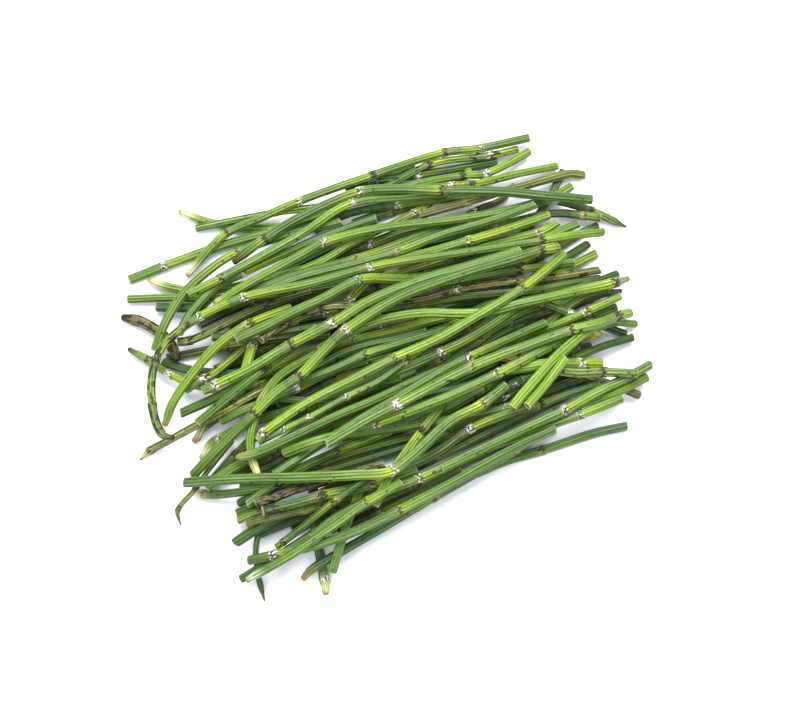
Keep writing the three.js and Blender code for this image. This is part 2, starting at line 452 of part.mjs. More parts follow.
// The lowest height each feeling point of a new stem can have over the stems already laid: it
// is flat over flat where it lies within half a width of the other axis, and slides down the
// sloping side beyond that.
function needs(stem, feel, laid) {
  const flat = (ROUND * stem.diameter * FLAT) / 2;
  return feel.map((p) => {
    let need = flat;
    for (const other of laid) {
      const air = other.group === stem.group ? -SINK : GAP;
      const reach = (ROUND * (stem.diameter + other.diameter)) / 2 + air / FLAT;
      const box = other.box;
      if (p[0] < box[0] - reach || p[0] > box[2] + reach) continue;
      if (p[1] < box[1] - reach || p[1] > box[3] + reach) continue;
      const axis = other.axis;
      for (let i = 1; i < axis.length; i++) {
        const [a, b] = [axis[i - 1], axis[i]];
        const [dx, dy] = [b[0] - a[0], b[1] - a[1]];
        const run = dx * dx + dy * dy;
        let t = ((p[0] - a[0]) * dx + (p[1] - a[1]) * dy) / run;
        t = Math.min(Math.max(t, 0), 1);
        const off = Math.hypot(p[0] - a[0] - dx * t, p[1] - a[1] - dy * t);
        if (off >= reach) continue;
        const tilt = Math.hypot(1, (b[2] - a[2]) / Math.sqrt(run));
        const rise = a[2] + (b[2] - a[2]) * t;
        const over = Math.min(reach * FLAT, (reach - off) * Math.sqrt(3));
        need = Math.max(need, rise + over * tilt);
      }
    }
    return need;
  });
}

// The tight string over the needs: every point on or under it, and it never turns upward.
function stringOver(at, need) {
  const kept = [];
  at.forEach((s, i) => {
    while (kept.length > 1) {
      const [a, b] = kept.slice(-2);
      const turn = (at[b] - at[a]) * (need[i] - need[a]) - (s - at[a]) * (need[b] - need[a]);
      if (turn < 0) break;
      kept.pop();
    }
    kept.push(i);
  });
  const string = need.slice();
  for (let k = 1; k < kept.length; k++) {
    const [a, b] = [kept[k - 1], kept[k]];
    for (let i = a; i <= b; i++) {
      string[i] = need[a] + ((need[b] - need[a]) * (at[i] - at[a])) / (at[b] - at[a]);
    }
  }
  return { string, kept };
}

// A stem let down on the heap: part stiff stick balanced on the two high points either side
// of its middle, part limp string over all it meets, then lifted wherever it would press in.
function rest(stem, feelAt, need) {
  const { string, kept } = stringOver(feelAt, need);
  const middle = (feelAt[0] + feelAt[feelAt.length - 1]) / 2;
  let k = 1;
  while (k < kept.length - 1 && feelAt[kept[k]] < middle) k++;
  const [a, b] = [kept[k - 1], kept[k]];
  const rate = (need[b] - need[a]) / (feelAt[b] - feelAt[a]);
  const wish = feelAt.map((s, i) => {
    const stick = need[a] + rate * (s - feelAt[a]);
    return string[i] + STIFF * (Math.max(stick, string[i]) - string[i]);
  });
  const height = stem.rings.map((ring) => {
    const step = feelAt[1] - feelAt[0];
    const i = Math.min(Math.floor((ring.s - feelAt[0]) / step), feelAt.length - 2);
    const t = Math.min((ring.s - feelAt[i]) / step, 1);
    return wish[i] + (wish[i + 1] - wish[i]) * t;
  });
  for (let pass = 0; pass < PASSES; pass++) {
    const lift = height.map(() => 0);
    feelAt.forEach((s, i) => {
      let j = 1;
      while (j < stem.rings.length - 1 && s > stem.rings[j].s) j++;
      const [lo, hi] = [stem.rings[j - 1].s, stem.rings[j].s];
      const t = Math.min((s - lo) / (hi - lo), 1);
      const short = need[i] - height[j - 1] - (height[j] - height[j - 1]) * t;
      if (short <= 0) return;
      const share = short / (t * t + (1 - t) * (1 - t));
      lift[j - 1] = Math.max(lift[j - 1], share * (1 - t));
      lift[j] = Math.max(lift[j], share * t);
    });
    height.forEach((h, j) => {
      height[j] = h + lift[j];
    });
  }
  return height;
}

// The whole heap laid once. Heights found by an earlier laying, where there are any, move
// each stem along the sight line to where it truly lies.
function layHeap(earlier) {
  const routes = STEMS.map((row) => routeOf(row[6]));
  const shown = shownOf(routes);
  const laid = [];
  STEMS.forEach(([name, diameter, tone, growth, ends, clings, points], n) => {
    const flat = routes[n];
    const [from, to] = shown[n];
    const kinds = ends.split(" ").map((kind, i) => (shown[n][i] === [0, flat.length][i] ? kind : "cut"));
    const rings = ringsOf(diameter, growth, kinds, points, flat, shown[n]);
    const stem = { name, diameter, tone, growth, ends: kinds, rings };
    const hosts = laid.filter((other) => clings.split(" ").includes(other.name));
    const joined = hosts.map((host) => host.group);
    stem.group = hosts.length ? joined[0] : name;
    laid.forEach((other) => {
      if (joined.includes(other.group)) other.group = stem.group;
    });
    const place = (s) => {
      const [x, y] = flat.point(s);
      if (!earlier) return [x, y];
      const before = earlier[n];
      let j = 1;
      while (j < before.rings.length - 1 && s > before.rings[j].s) j++;
      const [lo, hi] = [before.rings[j - 1].s, before.rings[j].s];
      const t = (s - lo) / (hi - lo);
      const z = before.axis[j - 1][2] + (before.axis[j][2] - before.axis[j - 1][2]) * t;
      return [x, y - LEAN * (z - LEVEL)];
    };
    const count = Math.max(Math.ceil((to - from) / STEP), 2);
    const feelAt = [...Array(count + 1).keys()].map((i) => from + ((to - from) * i) / count);
    const corners = rings.map((ring) => place(ring.s));
    const feel = feelAt.map((s) => {
      let j = 1;
      while (j < rings.length - 1 && s > rings[j].s) j++;
      const t = (s - rings[j - 1].s) / (rings[j].s - rings[j - 1].s);
      const [a, b] = [corners[j - 1], corners[j]];
      return [a[0] + (b[0] - a[0]) * t, a[1] + (b[1] - a[1]) * t];
    });
    const height = rest(stem, feelAt, needs(stem, feel, laid));
    stem.axis = corners.map(([x, y], j) => [x, y, height[j]]);
    const xs = corners.map((p) => p[0]);
    const ys = corners.map((p) => p[1]);
    stem.box = [Math.min(...xs), Math.min(...ys), Math.max(...xs), Math.max(...ys)];
    laid.push(stem);
  });
  return laid;
}

// A straight six-sided stem turned about Y, then bent so that each ring stands square on the
// stem's axis with a flat underneath. The ends are dimpled where cut and domed where they grew.
function stemGeometry(stem) {
  const [endA, endB] = stem.ends;
  const { rings, axis } = stem;
  const last = rings.length - 1;
  const push = { cut: HOLLOW, pale: -1.2, dry: -0.8, tip: -0.8 };
  const profile = rings.map((ring, i) => new THREE.Vector2(ring.radius * ROUND, i));
  profile.unshift(new THREE.Vector2(0, -1));
  profile.push(new THREE.Vector2(0, last + 1));
  const lathe = new THREE.LatheGeometry(profile, SIDES, Math.PI / 6);
  lathe.deleteAttribute("uv");
  lathe.deleteAttribute("normal");
  const path = axis.map((p) => new THREE.Vector3(...p));
  const along = path.map((p, i) => {
    const before = path[Math.max(i - 1, 0)];
    const after = path[Math.min(i + 1, last)];
    const back = p.clone().sub(before).normalize();
    const on = after.clone().sub(p).normalize();
    return back.add(on).normalize();
  });
  const up = new THREE.Vector3(0, 0, 1);
  const position = lathe.getAttribute("position");
  for (let v = 0; v < position.count; v++) {
    const ring = Math.min(Math.max(Math.round(position.getY(v)), 0), last);
    const side = new THREE.Vector3().crossVectors(along[ring], up).normalize();
    const over = new THREE.Vector3().crossVectors(side, along[ring]);
    const spot = path[ring].clone();
    spot.addScaledVector(side, position.getX(v)).addScaledVector(over, position.getZ(v));
    if (position.getY(v) < 0) spot.addScaledVector(along[0], push[endA]);
    if (position.getY(v) > last) spot.addScaledVector(along[last], -push[endB]);
    position.setXYZ(v, spot.x - CENTRE[0], spot.y - CENTRE[1], Math.max(spot.z, 0));
  }
  return mergeVertices(lathe, 1e-4);
}

const wasm = await Module();
wasm.setup();

function solidOf(geometry) {
  return new wasm.Manifold(
    new wasm.Mesh({
      numProp: 3,
      vertProperties: new Float32Array(geometry.getAttribute("position").array),
      triVerts: new Uint32Array(geometry.index.array),
    }),
  );
}

function geometryOf(solid) {
  const mesh = solid.getMesh();
  const geometry = new THREE.BufferGeometry();
  geometry.setAttribute("position", new THREE.BufferAttribute(mesh.vertProperties, 3));
  geometry.setIndex(new THREE.BufferAttribute(mesh.triVerts, 1));
  return geometry;
}

export const heapOfStems = layHeap(layHeap(null));
const heap = new THREE.Group();
heap.name = "horsetail_heap";
const groups = new Map();
for (const stem of heapOfStems) {
  const geometry = stemGeometry(stem);
  const solid = solidOf(geometry);
  const clump = groups.get(stem.group);
  if (clump) clump.solid = clump.solid.add(solid);
  else groups.set(stem.group, { solid, tone: stem.tone });
}
for (const [name, clump] of groups) {
  const material = new THREE.MeshStandardMaterial({ color: TONES[clump.tone] });
  material.roughness = 0.6;
  material.metalness = 0;
  const geometry = geometryOf(clump.solid).toNonIndexed();
  geometry.computeVertexNormals();
  const mesh = new THREE.Mesh(geometry, material);
  mesh.name = "stem_" + name;
  heap.add(mesh);
}

export default heap;
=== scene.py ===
# %% [markdown]
# # A loose heap of cut horsetail
#
# Horsetail is a rush-like plant whose green stems do the work of leaves. Cut and dropped on a
# table it makes a heap: some 150 slim, ribbed, hollow stems that cross and lean on each other.
# The solids that this heap was planned with are loaded first, as a frame. They are plain
# six-sided rods. This lesson lays the same stems by the same rule and gives each its real
# skin: ribs, toothed sheaths, cut ends, colours, bruises.

# %% Load the frame
import math
from types import SimpleNamespace

import bpy
import numpy as np
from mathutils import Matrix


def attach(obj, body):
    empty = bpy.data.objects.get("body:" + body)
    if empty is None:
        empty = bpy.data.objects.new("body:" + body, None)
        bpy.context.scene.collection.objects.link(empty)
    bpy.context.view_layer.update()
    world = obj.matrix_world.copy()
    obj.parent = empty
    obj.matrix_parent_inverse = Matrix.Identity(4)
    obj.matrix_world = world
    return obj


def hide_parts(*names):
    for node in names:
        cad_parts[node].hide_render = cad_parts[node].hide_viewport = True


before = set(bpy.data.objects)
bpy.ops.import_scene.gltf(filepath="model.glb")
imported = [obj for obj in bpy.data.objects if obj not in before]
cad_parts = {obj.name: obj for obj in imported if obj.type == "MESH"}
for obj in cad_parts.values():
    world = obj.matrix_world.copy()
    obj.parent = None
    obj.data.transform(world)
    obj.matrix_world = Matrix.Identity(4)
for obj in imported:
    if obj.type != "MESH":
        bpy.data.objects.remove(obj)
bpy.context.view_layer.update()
MM = 0.001

# %% [markdown]
# ## The camera
#
# The heap is seen from 18 degrees off straight overhead. A long lens keeps the stems from
# swelling towards the middle of the picture. The camera is turned about X only, so its place
# is the spot it looks at plus a step back along its own line of sight.

# %% Camera
SIGHT_OFF_PLUMB = math.radians(18)
DISTANCE = 944.4 * MM
AIM = (7.16 * MM, 3.43 * MM, 0.0)
FOCAL_LENGTH = 85  # mm
SENSOR_WIDTH = 36  # mm
NEAREST = 10 * MM

camera = bpy.data.objects.new("camera", bpy.data.cameras.new("camera"))
camera.data.lens = FOCAL_LENGTH
camera.data.sensor_width = SENSOR_WIDTH
camera.data.clip_start = NEAREST
camera.location = (
    AIM[0],
    AIM[1] - DISTANCE * math.sin(SIGHT_OFF_PLUMB),
    DISTANCE * math.cos(SIGHT_OFF_PLUMB),
)
camera.rotation_euler = (SIGHT_OFF_PLUMB, 0, 0)
bpy.context.scene.collection.objects.link(camera)
bpy.context.scene.camera = camera
print("camera", [round(x, 4) for x in camera.location])

# %% [markdown]
# ## The stems in the order they were dropped
#
# A heap can be simulated, but then nobody chooses where a stem lies. Here each stem is a row:
# its name, its thickness in mm, its tone, + or - for whether it grew along its route or against
# it, what its two ends are, and the stems it is fused to in the frame. After the colon comes
# its route in plan, in mm, with a star at each joint. A long row goes on in the next line.
# Heights are left out: they follow from the order, each stem lying on those before.

# %% The list of stems
STEM_ROWS = """
f01 4.6 deep + cut cut: -34 -92, 10 -69.5*, 50 -48.5, 72 -37
f02 4.6 deep + cut cut: -10 -69, 9 -60, 45 -42.5*, 80 -25, 94 -18
f03 5 deep + cut cut: -16 -48, 20 -30*, 57 -11, 75 -2
f04 5 olive + cut cut: 45 -32, 70 -20.5*, 88 -13, 96 -9
f05 5 deep + cut cut: -84 -66, -62 -55.5*, -35 -42, -14 -31
f07 5 deep + cut cut: -20 33, 11 42*, 44 50, 66 56
f08 5 deep + cut cut: -101 13, -74 27*, -48 39
f09 5 deep + cut cut: -78 33, -60 42, -30 58*, -12 67
f10 5 deep + cut cut: -72 -32, -48 -20.5*, -21 -8, 8 5
a13 3.8 olive + pale cut: -101 -47, -97 -41, -85 -33, -66 -25
a25 4.2 deep + cut cut: 54 41, 72 50*, 92 62, 101 66.5
a27 4.2 deep + cut cut: 70 4, 97 17*, 109 22.5
b29 4 deep + cut cut: -62 -50, -40 -36*, -15 -21.5, 16 -9.5
g01 5 deep + cut cut f01: -30 -92.5, -8 -82*, 14 -70.5, 30 -62.5
g02 5 deep + cut cut: -26 8, -8 11.5*, 14 17.5
g03 5 deep + cut cut: 8 -53, 24 -43*, 42 -33.5
g04 5 deep + cut cut: 18 3, 36 11.5*, 54 21
g05 4.2 deep + cut cut: 76 18.5, 96 27*, 106 31.5
g06 4.6 deep + cut cut: -92 -68, -80 -54*, -70 -43
g09 5 deep + cut cut g03: 36 -33, 52 -23.5*, 68 -15
g10 4.6 deep + cut cut: -56 -69, -36 -60*, -14 -51.5
g12 4.6 deep + cut cut: -26 86.5, -8 92.5*, 8 99
g13 5 deep + cut cut: -86 -27, -70 -18.5*, -56 -10
g14 5 deep + cut cut: -64 -42, -46 -32*, -30 -24
g16 5 deep + cut cut b29: 8 -12, 20 -5.5*, 34 2.5
g19 4.6 deep + cut cut: -12 91, 10 94.5*, 30 98, 50 102
f11 5 deep + cut cut: 4 -27, 30 -15, 54 -3*, 73 6
f12 4.2 olive + pale cut a13: -99 -46, -96.5 -40, -92 -35.5, -78 -30.5*, -60 -22
f13 5 deep + cut cut: -86 12, -80 15, -50 28*, -24 38
f14 5 deep + cut cut: -36 49, -14 57*, 5 64, 28 67.5
f15 5 olive + cut cut: -14 47.5, 4 51, 33 57*, 56 62
f17 5 deep + cut cut: -92 -11, -72 -1.5, -60 4.5*, -38 12, -20 17
f18 5 deep + cut cut f09: -24 67, -4 74.5*, 16 81
f19 5 deep + cut cut f03: 6 -41, 21 -32, 42 -20*, 58 -11
f21 5 deep + cut cut: 56 -28, 70 -22, 90 -14*, 98 -10
f22 5 deep + cut cut g02: -28 9, -12 13, 8 17*, 26 24, 45 27, 60 30
f25 5 deep + cut cut f07: -36 22, -21 29, -10 34*, 8 41
f28 5 deep + cut cut: -60 -29, -46 -22, -32 -15*, -16 -7
f29 5 deep + cut cut: -52 -92.5, -38 -85, -27 -79*, -8 -69
f30 5 deep + cut cut f05: -78 -67, -66 -61, -55 -55*, -36 -45
f31 5 deep + cut cut f25: -62 12, -47 17, -36 20*, -18 26
f34 4.6 deep + cut cut: -28 86, -13 92, 0 97*, 18 103
a01 4.4 light + pale cut: -112 74, -98 68.5, -75 65, -45 68, -18 74.5
a02 4.8 leaf + cut cut a01: -137 37, -118 45*, -90 55.5, -66 62.5*, -40 72, -14 81
a03 4.2 light + pale cut f09: -126 37, -117 33.5, -100 31, -70 36*, -40 45, -10 50
a04 4.2 leaf + cut cut f13 f08: -137 27, -112 28, -85 27.5*, -55 30, -25 36
a05 4.4 deep + cut cut: -122 21.5, -105 22.5, -85 27*, -60 33, -35 41
a06 4.2 olive + cut cut f17: -116 -4.5, -101 -1.5, -85 1.5*, -60 6, -35 8
a07 4.4 deep + cut cut g13 f17: -118 -6, -104 -10.5, -88 -12.5, -65 -12*, -35 -8
a08 4 light + dry cut f12: -135 0.5, -124 -5.5*, -113 -12.5*, -104 -17, -92 -20.5, -70 -24, -45 -26
a09 5.6 dry - dry dry: -139 17, -129 14.5, -120 9, -114 3, -110 -5
a10 4.2 olive + cut cut: -110 3.5, -103.5 4.5*, -93 9.5, -80 17, -66 24, -45 31
a11 3.8 leaf + cut cut a06: -105 -20, -95 -14.5*, -82 -4, -74 3.5, -60 13*, -42 20
a14 4.4 leaf + pale cut a08: -97 -55.5, -93 -49, -88 -45.5*, -72 -37, -50 -29*, -25 -20, 0 -14
a15 4 deep + cut cut g10: -78 -70, -62 -67.5, -40 -58*, -15 -50, 10 -44
a16 4.2 leaf - pale cut: -100 -71.5, -95.5 -74.5*, -80 -75, -60 -72, -38 -64*, -15 -56
a17 4 deep + cut cut a16: -78 -79, -66 -74, -45 -66*, -20 -58, 5 -50
a19 4.6 deep + cut cut f29: -69 -94.5, -50 -86.5, -30 -79*, -8 -70, 15 -60, 40 -49
a20 4.4 leaf + cut cut: -12 -91, 20 -73*, 48 -59, 70 -52*, 95 -43.5, 112 -39.5
a21 4.6 deep - pale cut: -35.5 -122.5, -36 -117*, -39 -100, -41 -85, -42 -66
a22 3 deep - tip cut: -65 -126, -68 -114, -69 -100, -66 -84
a23 4.2 deep + cut cut a21: -76 -115.5, -62 -106.5, -40 -92*, -18 -80, 5 -70
a24 4.2 dry + cut cut f21: 35 0, 60 -6, 85 -12, 105 -18.5*, 118 -24
a26 4.2 deep + cut cut f22: 20 12, 40 22, 62 35*, 84 49, 95.5 56.5
a28 4 deep + cut cut a24: 10 -24, 35 -18, 60 -8*, 84 -1, 94.5 2.5
a29 4 deep + cut cut f07: 44 40, 54 52, 66 66*, 76 81, 84 97
a30 4.2 leaf + cut cut a29: 0 40, 22 50, 40 62, 52 70.5*, 76 80.5, 88 88
a32 4.2 light + cut cut a03: -60 37, -38 47, -25 56, 8 73.5*, 22 85, 36 97
a34 3.2 dry + cut dry: 25 66, 39 75*, 52 81, 58 89
a35 4.2 deep + cut cut: 40 3, 60 14*, 82 26, 100 34
a36 4 deep + cut cut a28: 30 -32, 45 -24, 57 -17*, 75 -8, 88 2
a37 4.8 light - cut cut a08: -80 -32, -77 -20, -75 -8, -73 1*, -71 6
b01 3.6 olive + cut cut g19 a01: -104 65, -63 73.5*, -35 78, -10 86, 16 100*, 47 105*, 61 109
b02 4.4 leaf + cut cut: -109 8, -103 20, -92 33, -78 41*, -60 50, -38 60, -12 70
b03 4.2 deep + cut cut a32: -50 60, -27 72.5, 0 78*, 28 81, 60 84
b04 4.2 leaf + cut cut a32: -8 84, 12 90, 33 94*, 45 95.5*, 66.5 107.5
b05 3.8 light + cut cut: -20 84, 5 86.5, 27 88.5*, 38 89.5*, 60 95, 81 99.5
b06 4.4 olive + cut cut a29 b03: 10 72, 35 79*, 60 86.5, 87 95, 94.5 94.5
b07 4.2 deep + cut tip: 15 84, 45 85.5*, 80 80, 98 74.5*, 115 66
b08 4.2 deep + cut cut: -10 52, 20 58, 50 66*, 78 73, 94 72*, 102 71
b09 4.4 light + cut cut: -15 36, 15 46, 45 56, 71 63*, 80 68.5
b10 4.4 leaf + cut cut: 40 44, 65 56*, 90 67.5
b11 4.4 light + cut cut: 55 30, 75 39*, 88 45.5, 100 51.5
b12 4 deep + cut cut: 40 36, 62 45.5*, 76 53.5, 84 60
b13 4.2 deep + cut cut a26: -12 20, 10 23.5*, 35 28, 60 31*, 80 34.5, 101 38
b14 4.2 deep + cut cut b13: 60 20, 75 27*, 98 36, 109.5 40.5
b15 4 deep + cut dry: 55 14, 75 21*, 95 28, 111 31
b16 4.2 deep + cut cut b15: 50 -4, 72 13*, 90 27, 104 31.5
b17 4.2 deep + cut cut b15 a35: 15 -14, 40 6*, 58 18.5, 75 24.5
b18 4 deep + cut cut b16: 70 24, 85 19*, 100 13, 113 8
b19 4 leaf + cut cut b18: 75 4, 92 10*, 106 14, 118 13.5
b20 4 deep + cut cut a36: 60 -15, 85 -4.5*, 100 2, 116.5 7
b21 4 olive + cut pale a36: 65 -6, 88 4*, 99 9
b22 4.4 leaf + cut cut a24: 55 -41, 88 -28.5*, 105 -22.5, 122 -14.5
b23 4.2 deep + cut cut: -15 -70, 20 -54*, 45 -41, 70 -27.5*, 98 -17
b25 4.4 deep - pale cut a20 a21: -46 -115, -42 -110.5, -30 -103, -15 -94, 15.5 -75.5*, 35 -64,
  55 -52.5*, 76 -39.5
b26 4 deep + cut cut: -79 -84, -68 -79.5, -50 -73*, -25 -64, 0 -55
b27 4 leaf + cut cut: -78 -86.5, -66 -82, -45 -76.5*, -20 -72
b28 5 deep + cut cut a21: -79 -98, -65 -88.5, -45 -77*, -22 -66, 0 -57
b30 4 light + cut cut: -38 12, -24 27.5*, -10 42, 5 58
b31 4.2 deep + cut cut a37 b30: -92.5 6.5, -70 7.5*, -38 13.5, -10 18
b32 4.4 leaf + cut cut f28 a08: -87 -35.5, -68 -28.5, -49 -19*, -33 -11, -15 -5, 10 3
b33 4.6 deep + cut cut a37: -107 -33, -90 -25, -70 -14*, -50 -4, -30 4
b34 4.8 leaf + cut cut f05: -94 -70.5, -80 -60, -60 -50*, -38 -41, -12 -30*, 10 -20
b35 4.2 leaf + cut cut a15: -73 -79, -60 -69*, -48 -61, -30 -52*, -5 -42
b36 4.4 olive + cut cut b28: -73 -88, -60 -84, -45 -79.5*, -25 -74
b37 4.2 leaf + cut cut b25: -32.5 -112, -28 -96, -22 -78*, -14 -60
c01 4.2 leaf - pale cut a02: -107 40, -89 61*, -71 70, -52 79*, -15 93*, 22 106*, 40 108.5*, 67 115
c02 4.6 leaf - cut cut: -121 0, -117 12, -108 29, -94 43, -82 51*, -60 60, -30 68
c03 4.4 leaf - cut cut b02: -105 29, -90 37*, -50 61, -25 78*, 5 82, 30 83.5
c05 4.4 leaf + cut cut b08 a32: -82 29, -50 40, -22 48*, 0 56, 12 61.5, 34 69.5
c04 4.4 leaf + pale cut: -95 22.5, -90 25.5*, -75 35, -50 50, -37 57.5*, -10 64.5, 30 69.5, 50 73,
  74 79.5
c06 4.2 leaf + cut cut: -85 22, -50 36.5, -20 45, 0 51.5*, 20 60, 45 68, 68 77
c07 4.6 light + cut cut: -20 40, 10 49.5, 35 57.5*, 55 64, 75 71.5
c08 4.2 leaf + cut cut b12 b11: 20 34, 45 39, 60.5 42*, 87.5 46.5
c09 4 dry + cut cut b11: -68 5, -55 14.5*, -38 21.5*, -20 23, 10 26.5, 29.5 32*, 58.5 36.5*, 80 39,
  100.5 42.5
c10 4.2 light + cut cut: -42 -3, -30 2.5, -22 5.5*, 0 11, 12 14.5, 26 17.5
c11 4.2 deep + cut cut: -45 -12, -30 -2.5, -18 2, 0 6.5, 15 11, 26 14
c12 4.4 leaf + cut cut b32: -50 -17, -30 -8.5, -17 -2*, 0 4, 25 13*, 45 22.5
c13 4.4 leaf + pale cut b17: -45 -25, -25 -21, -5 -12.5, 21 -1*, 35 6, 50 17, 62 24
c14 4.6 light + pale cut a11: -115.5 -38, -112 -28, -106 -18, -97 -6, -88 3.5, -74 13*, -55 22
c15 3.8 olive - tip cut: -127 -56.5, -122.5 -52*, -112 -46, -98 -37.5, -80 -28*, -58 -16
c16 4.2 light - pale cut: -68 -64.5, -71 -56, -72 -45, -69 -32, -66 -24, -58 -13, -45 -4, -30 5
c17 4 light + cut cut b18: 55 4, 80 15, 92.5 20.5*, 110 28.5
c18 5.4 light + cut cut b20: 50 -11, 75 -7, 89 -6.5*, 99 -7
c19 4.2 leaf + cut cut: -40 -47, -10 -42, 10 -38.5, 30 -34.5, 52.5 -29.5*, 67.5 -28.5
c20 4.4 olive + cut cut: -8 -64, 15 -53.5, 35 -39.5*, 50 -33, 62 -29
c21 4.4 dry + cut cut: -69 -78, -60 -75.5*, -51 -71.5, -30 -65, -8 -58
c22 5 leaf + cut cut b36: -65 -82, -36.5 -73.5*, -20 -69.5, -13 -67.5*, 8 -60
c23 2.6 olive - tip cut: -106 -89, -107.5 -82*, -99 -71*, -94 -63, -88 -54.5, -82 -46.5
c24 4.4 leaf + cut cut b37: -42 -94, -30 -84, -10 -73, 10 -64.5*, 30 -55, 50 -46.5, 88.5 -32.5*,
  108 -24.5
c25 4.6 light + cut cut: 20 -60, 40 -50, 60 -40, 80.5 -30*, 95 -21, 112 -14, 124 -8
c26 4.6 olive + cut cut c25: 73 -15, 100 -12.5*, 116 -12
c27 3.4 deep - cut cut: -59 -99.5, -56 -97*, -44 -87, -31 -75.5*, -12 -62
c28 4.4 light - cut cut c19: -12 -77.5, -5 -63, 2 -53, 11 -41*, 22 -27
d01 4.8 leaf - dry cut c03 c02: -83 47, -69 58*, -50 70.5, -21 84*, 0 85.5, 20 84.5*, 50 83.5,
  75 81, 97 79
d02 4.2 leaf + dry cut c06: -110 -44, -115 -42.5, -118.5 -36, -120.5 -27*, -121.2 -15, -119.2 -4*,
  -114 5, -98 18*, -76 28*, -45 34.5, -14 43*, 25 49.5, 72 57*, 103 62
d03 4.8 leaf + cut cut c09: -80 7, -60 17, -40 26, -19 36.5*, 0 37, 18 38
d04 4.8 leaf - cut dry b18: -40 0, -26 8.5, -10 15, 10 18.5, 39 18.5*, 60 23.5, 85 29.5, 105 34*,
  114 37
d08 4.4 leaf + pale cut c16: -78 -55, -68 -52, -50 -43.5, -30 -33.5, -12 -25.5, 5 -17, 22 -9
d05 3.4 leaf + cut cut c13: -68 -47, -55 -40*, -43 -34*, -25 -23.5*, -10 -15.5, 3.5 -5.5*, 14 1,
  24 8, 34 14.5
d06 4.6 leaf + cut cut: -60 -65, -40 -50.5, -20 -37, 0 -24, 20 -11, 34.5 -3*, 55 7, 72 15
d07 4.8 leaf + cut cut c18: -55 -54, -30 -45, -11 -38*, 10 -30, 28 -22.5, 48 -12.5*, 74 2, 92 13
d10 4.4 leaf + cut cut: -98 -35, -80 -21, -66 -10.5*, -52 -0.5, -40 8.5, -30 15
d09 4.8 leaf + cut cut d10: -95 -22, -88 -18.5*, -70 -9, -52 2.5*, -32.5 13.5*, -15 25, 10 36,
  35 44, 60 52.5
d11 4.4 light + cut cut d04: -68 -46, -65 -42*, -45 -27.5, -20 -14, -2.5 -4.5*, 18 5, 38 17,
  60 31*, 82 49.5
d12 4.4 leaf + cut cut: -72 -106, -59 -102.5*, -40 -97.5, -20 -90, 0 -80*, 25 -66.5, 50 -52,
  75 -39.5
d13 4.8 light + cut cut c26: 54 -29.5, 60 -22, 75 -5, 88 8, 97 14
d14 4.2 light + cut cut: 61 -29.5, 67 -22, 73 -14, 80 -4
e01 4.8 light + cut cut d13: -35 -49, -15 -36.5, -0.5 -28.5*, 35 -9*, 60 1.5, 84.5 11*,
  107.5 17.5*, 114 18.5
e02 5 leaf + cut cut d09 c16: -100 -64, -85 -48, -69 -31.5*, -60 -22, -48 -13*, -37 -0.5,
  -26 10.5*, 0 27.5, 25 38, 50 46.5, 71 52.5*, 78.5 53.5
e03 4.8 leaf - cut cut d06: -104 -68, -85 -66.5, -50 -65, -20 -62.5, -4.5 -60.5*, 6.5 -52.5,
  24 -36, 39.5 -27.5*, 51.5 -18
e04 4.2 leaf + pale cut d12 c28: -72 -114.5, -50 -101, -30 -86.5, -15 -75*, 0 -66
"""


def read_row(text):
    """A stem's row as named values: the words before the colon, then the points of its route
    and whether each is a joint."""
    head, route = text.split(":")
    name, diameter, tone, way, first, last, *hosts = head.split()
    points = route.split(",")
    return SimpleNamespace(
        name=name, diameter=float(diameter), tone=tone, growth=-1 if way == "-" else 1,
        ends=(first, last), hosts=hosts, joints=["*" in point for point in points],
        points=[[float(number) for number in point.strip(" *").split()] for point in points],
    )


STEMS = [read_row(row) for row in STEM_ROWS.strip().replace("\n  ", " ").split("\n")]

# %% [markdown]
# ## A smooth route
#
# A cut stem bends in one easy curve. Through the chosen points goes a chain of cubics, each
# starting and ending with the slope of the line that joins its neighbours. The same curve
# later carries heights, so the stems have no kinks in any direction.


# %% Curve through points
def smooth(at, values, s):
    """The cubic through `values` at the lengths `at`, read off at the lengths s. In a run of
    length r, at its fraction t: (1-3t2+2t3) a + (t-2t2+t3) r slope_a + (3t2-2t3) b +
    (t3-t2) r slope_b, where a slope is that of the line between the neighbours."""
    last = len(at) - 1
    lo = np.maximum(np.arange(last + 1) - 1, 0)
    hi = np.minimum(np.arange(last + 1) + 1, last)
    slope = (values[hi] - values[lo]) / (at[hi] - at[lo])[:, None]
    i = np.searchsorted(at[1:last], s, side="left")
    run = (at[i + 1] - at[i])[:, None]
    t = (s - at[i])[:, None] / run
    start = (1 - 3 * t**2 + 2 * t**3) * values[i] + (t - 2 * t**2 + t**3) * run * slope[i]
    end = (3 * t**2 - 2 * t**3) * values[i + 1] + (t**3 - t**2) * run * slope[i + 1]
    return start + end


def route_of(row):
    """The plan points of a row and their lengths along the straight lines between them."""
    xy = np.array(row.points)
    at = np.concatenate([[0.0], np.cumsum(np.hypot(*np.diff(xy, axis=0).T))])
    return SimpleNamespace(at=at, xy=xy, joints=at[row.joints], length=at[-1])


routes = [route_of(row) for row in STEMS]
print("longest stem", round(max(route.length for route in routes)), "mm")

# %% [markdown]
# ## How much of each stem is there
#
# What lies wholly under other stems can't be seen from anywhere, so a hidden end only runs on
# a little way. The first few stems keep their whole length, because they carry the rest.

# %% Shown stretches
STEP = 1.5  # mm between the points that feel for what lies below
TUCK = 12  # mm that a hidden end runs on
REMNANT = 5  # mm; a stem isn't cut to save less than this
FLOOR_STEMS = 13


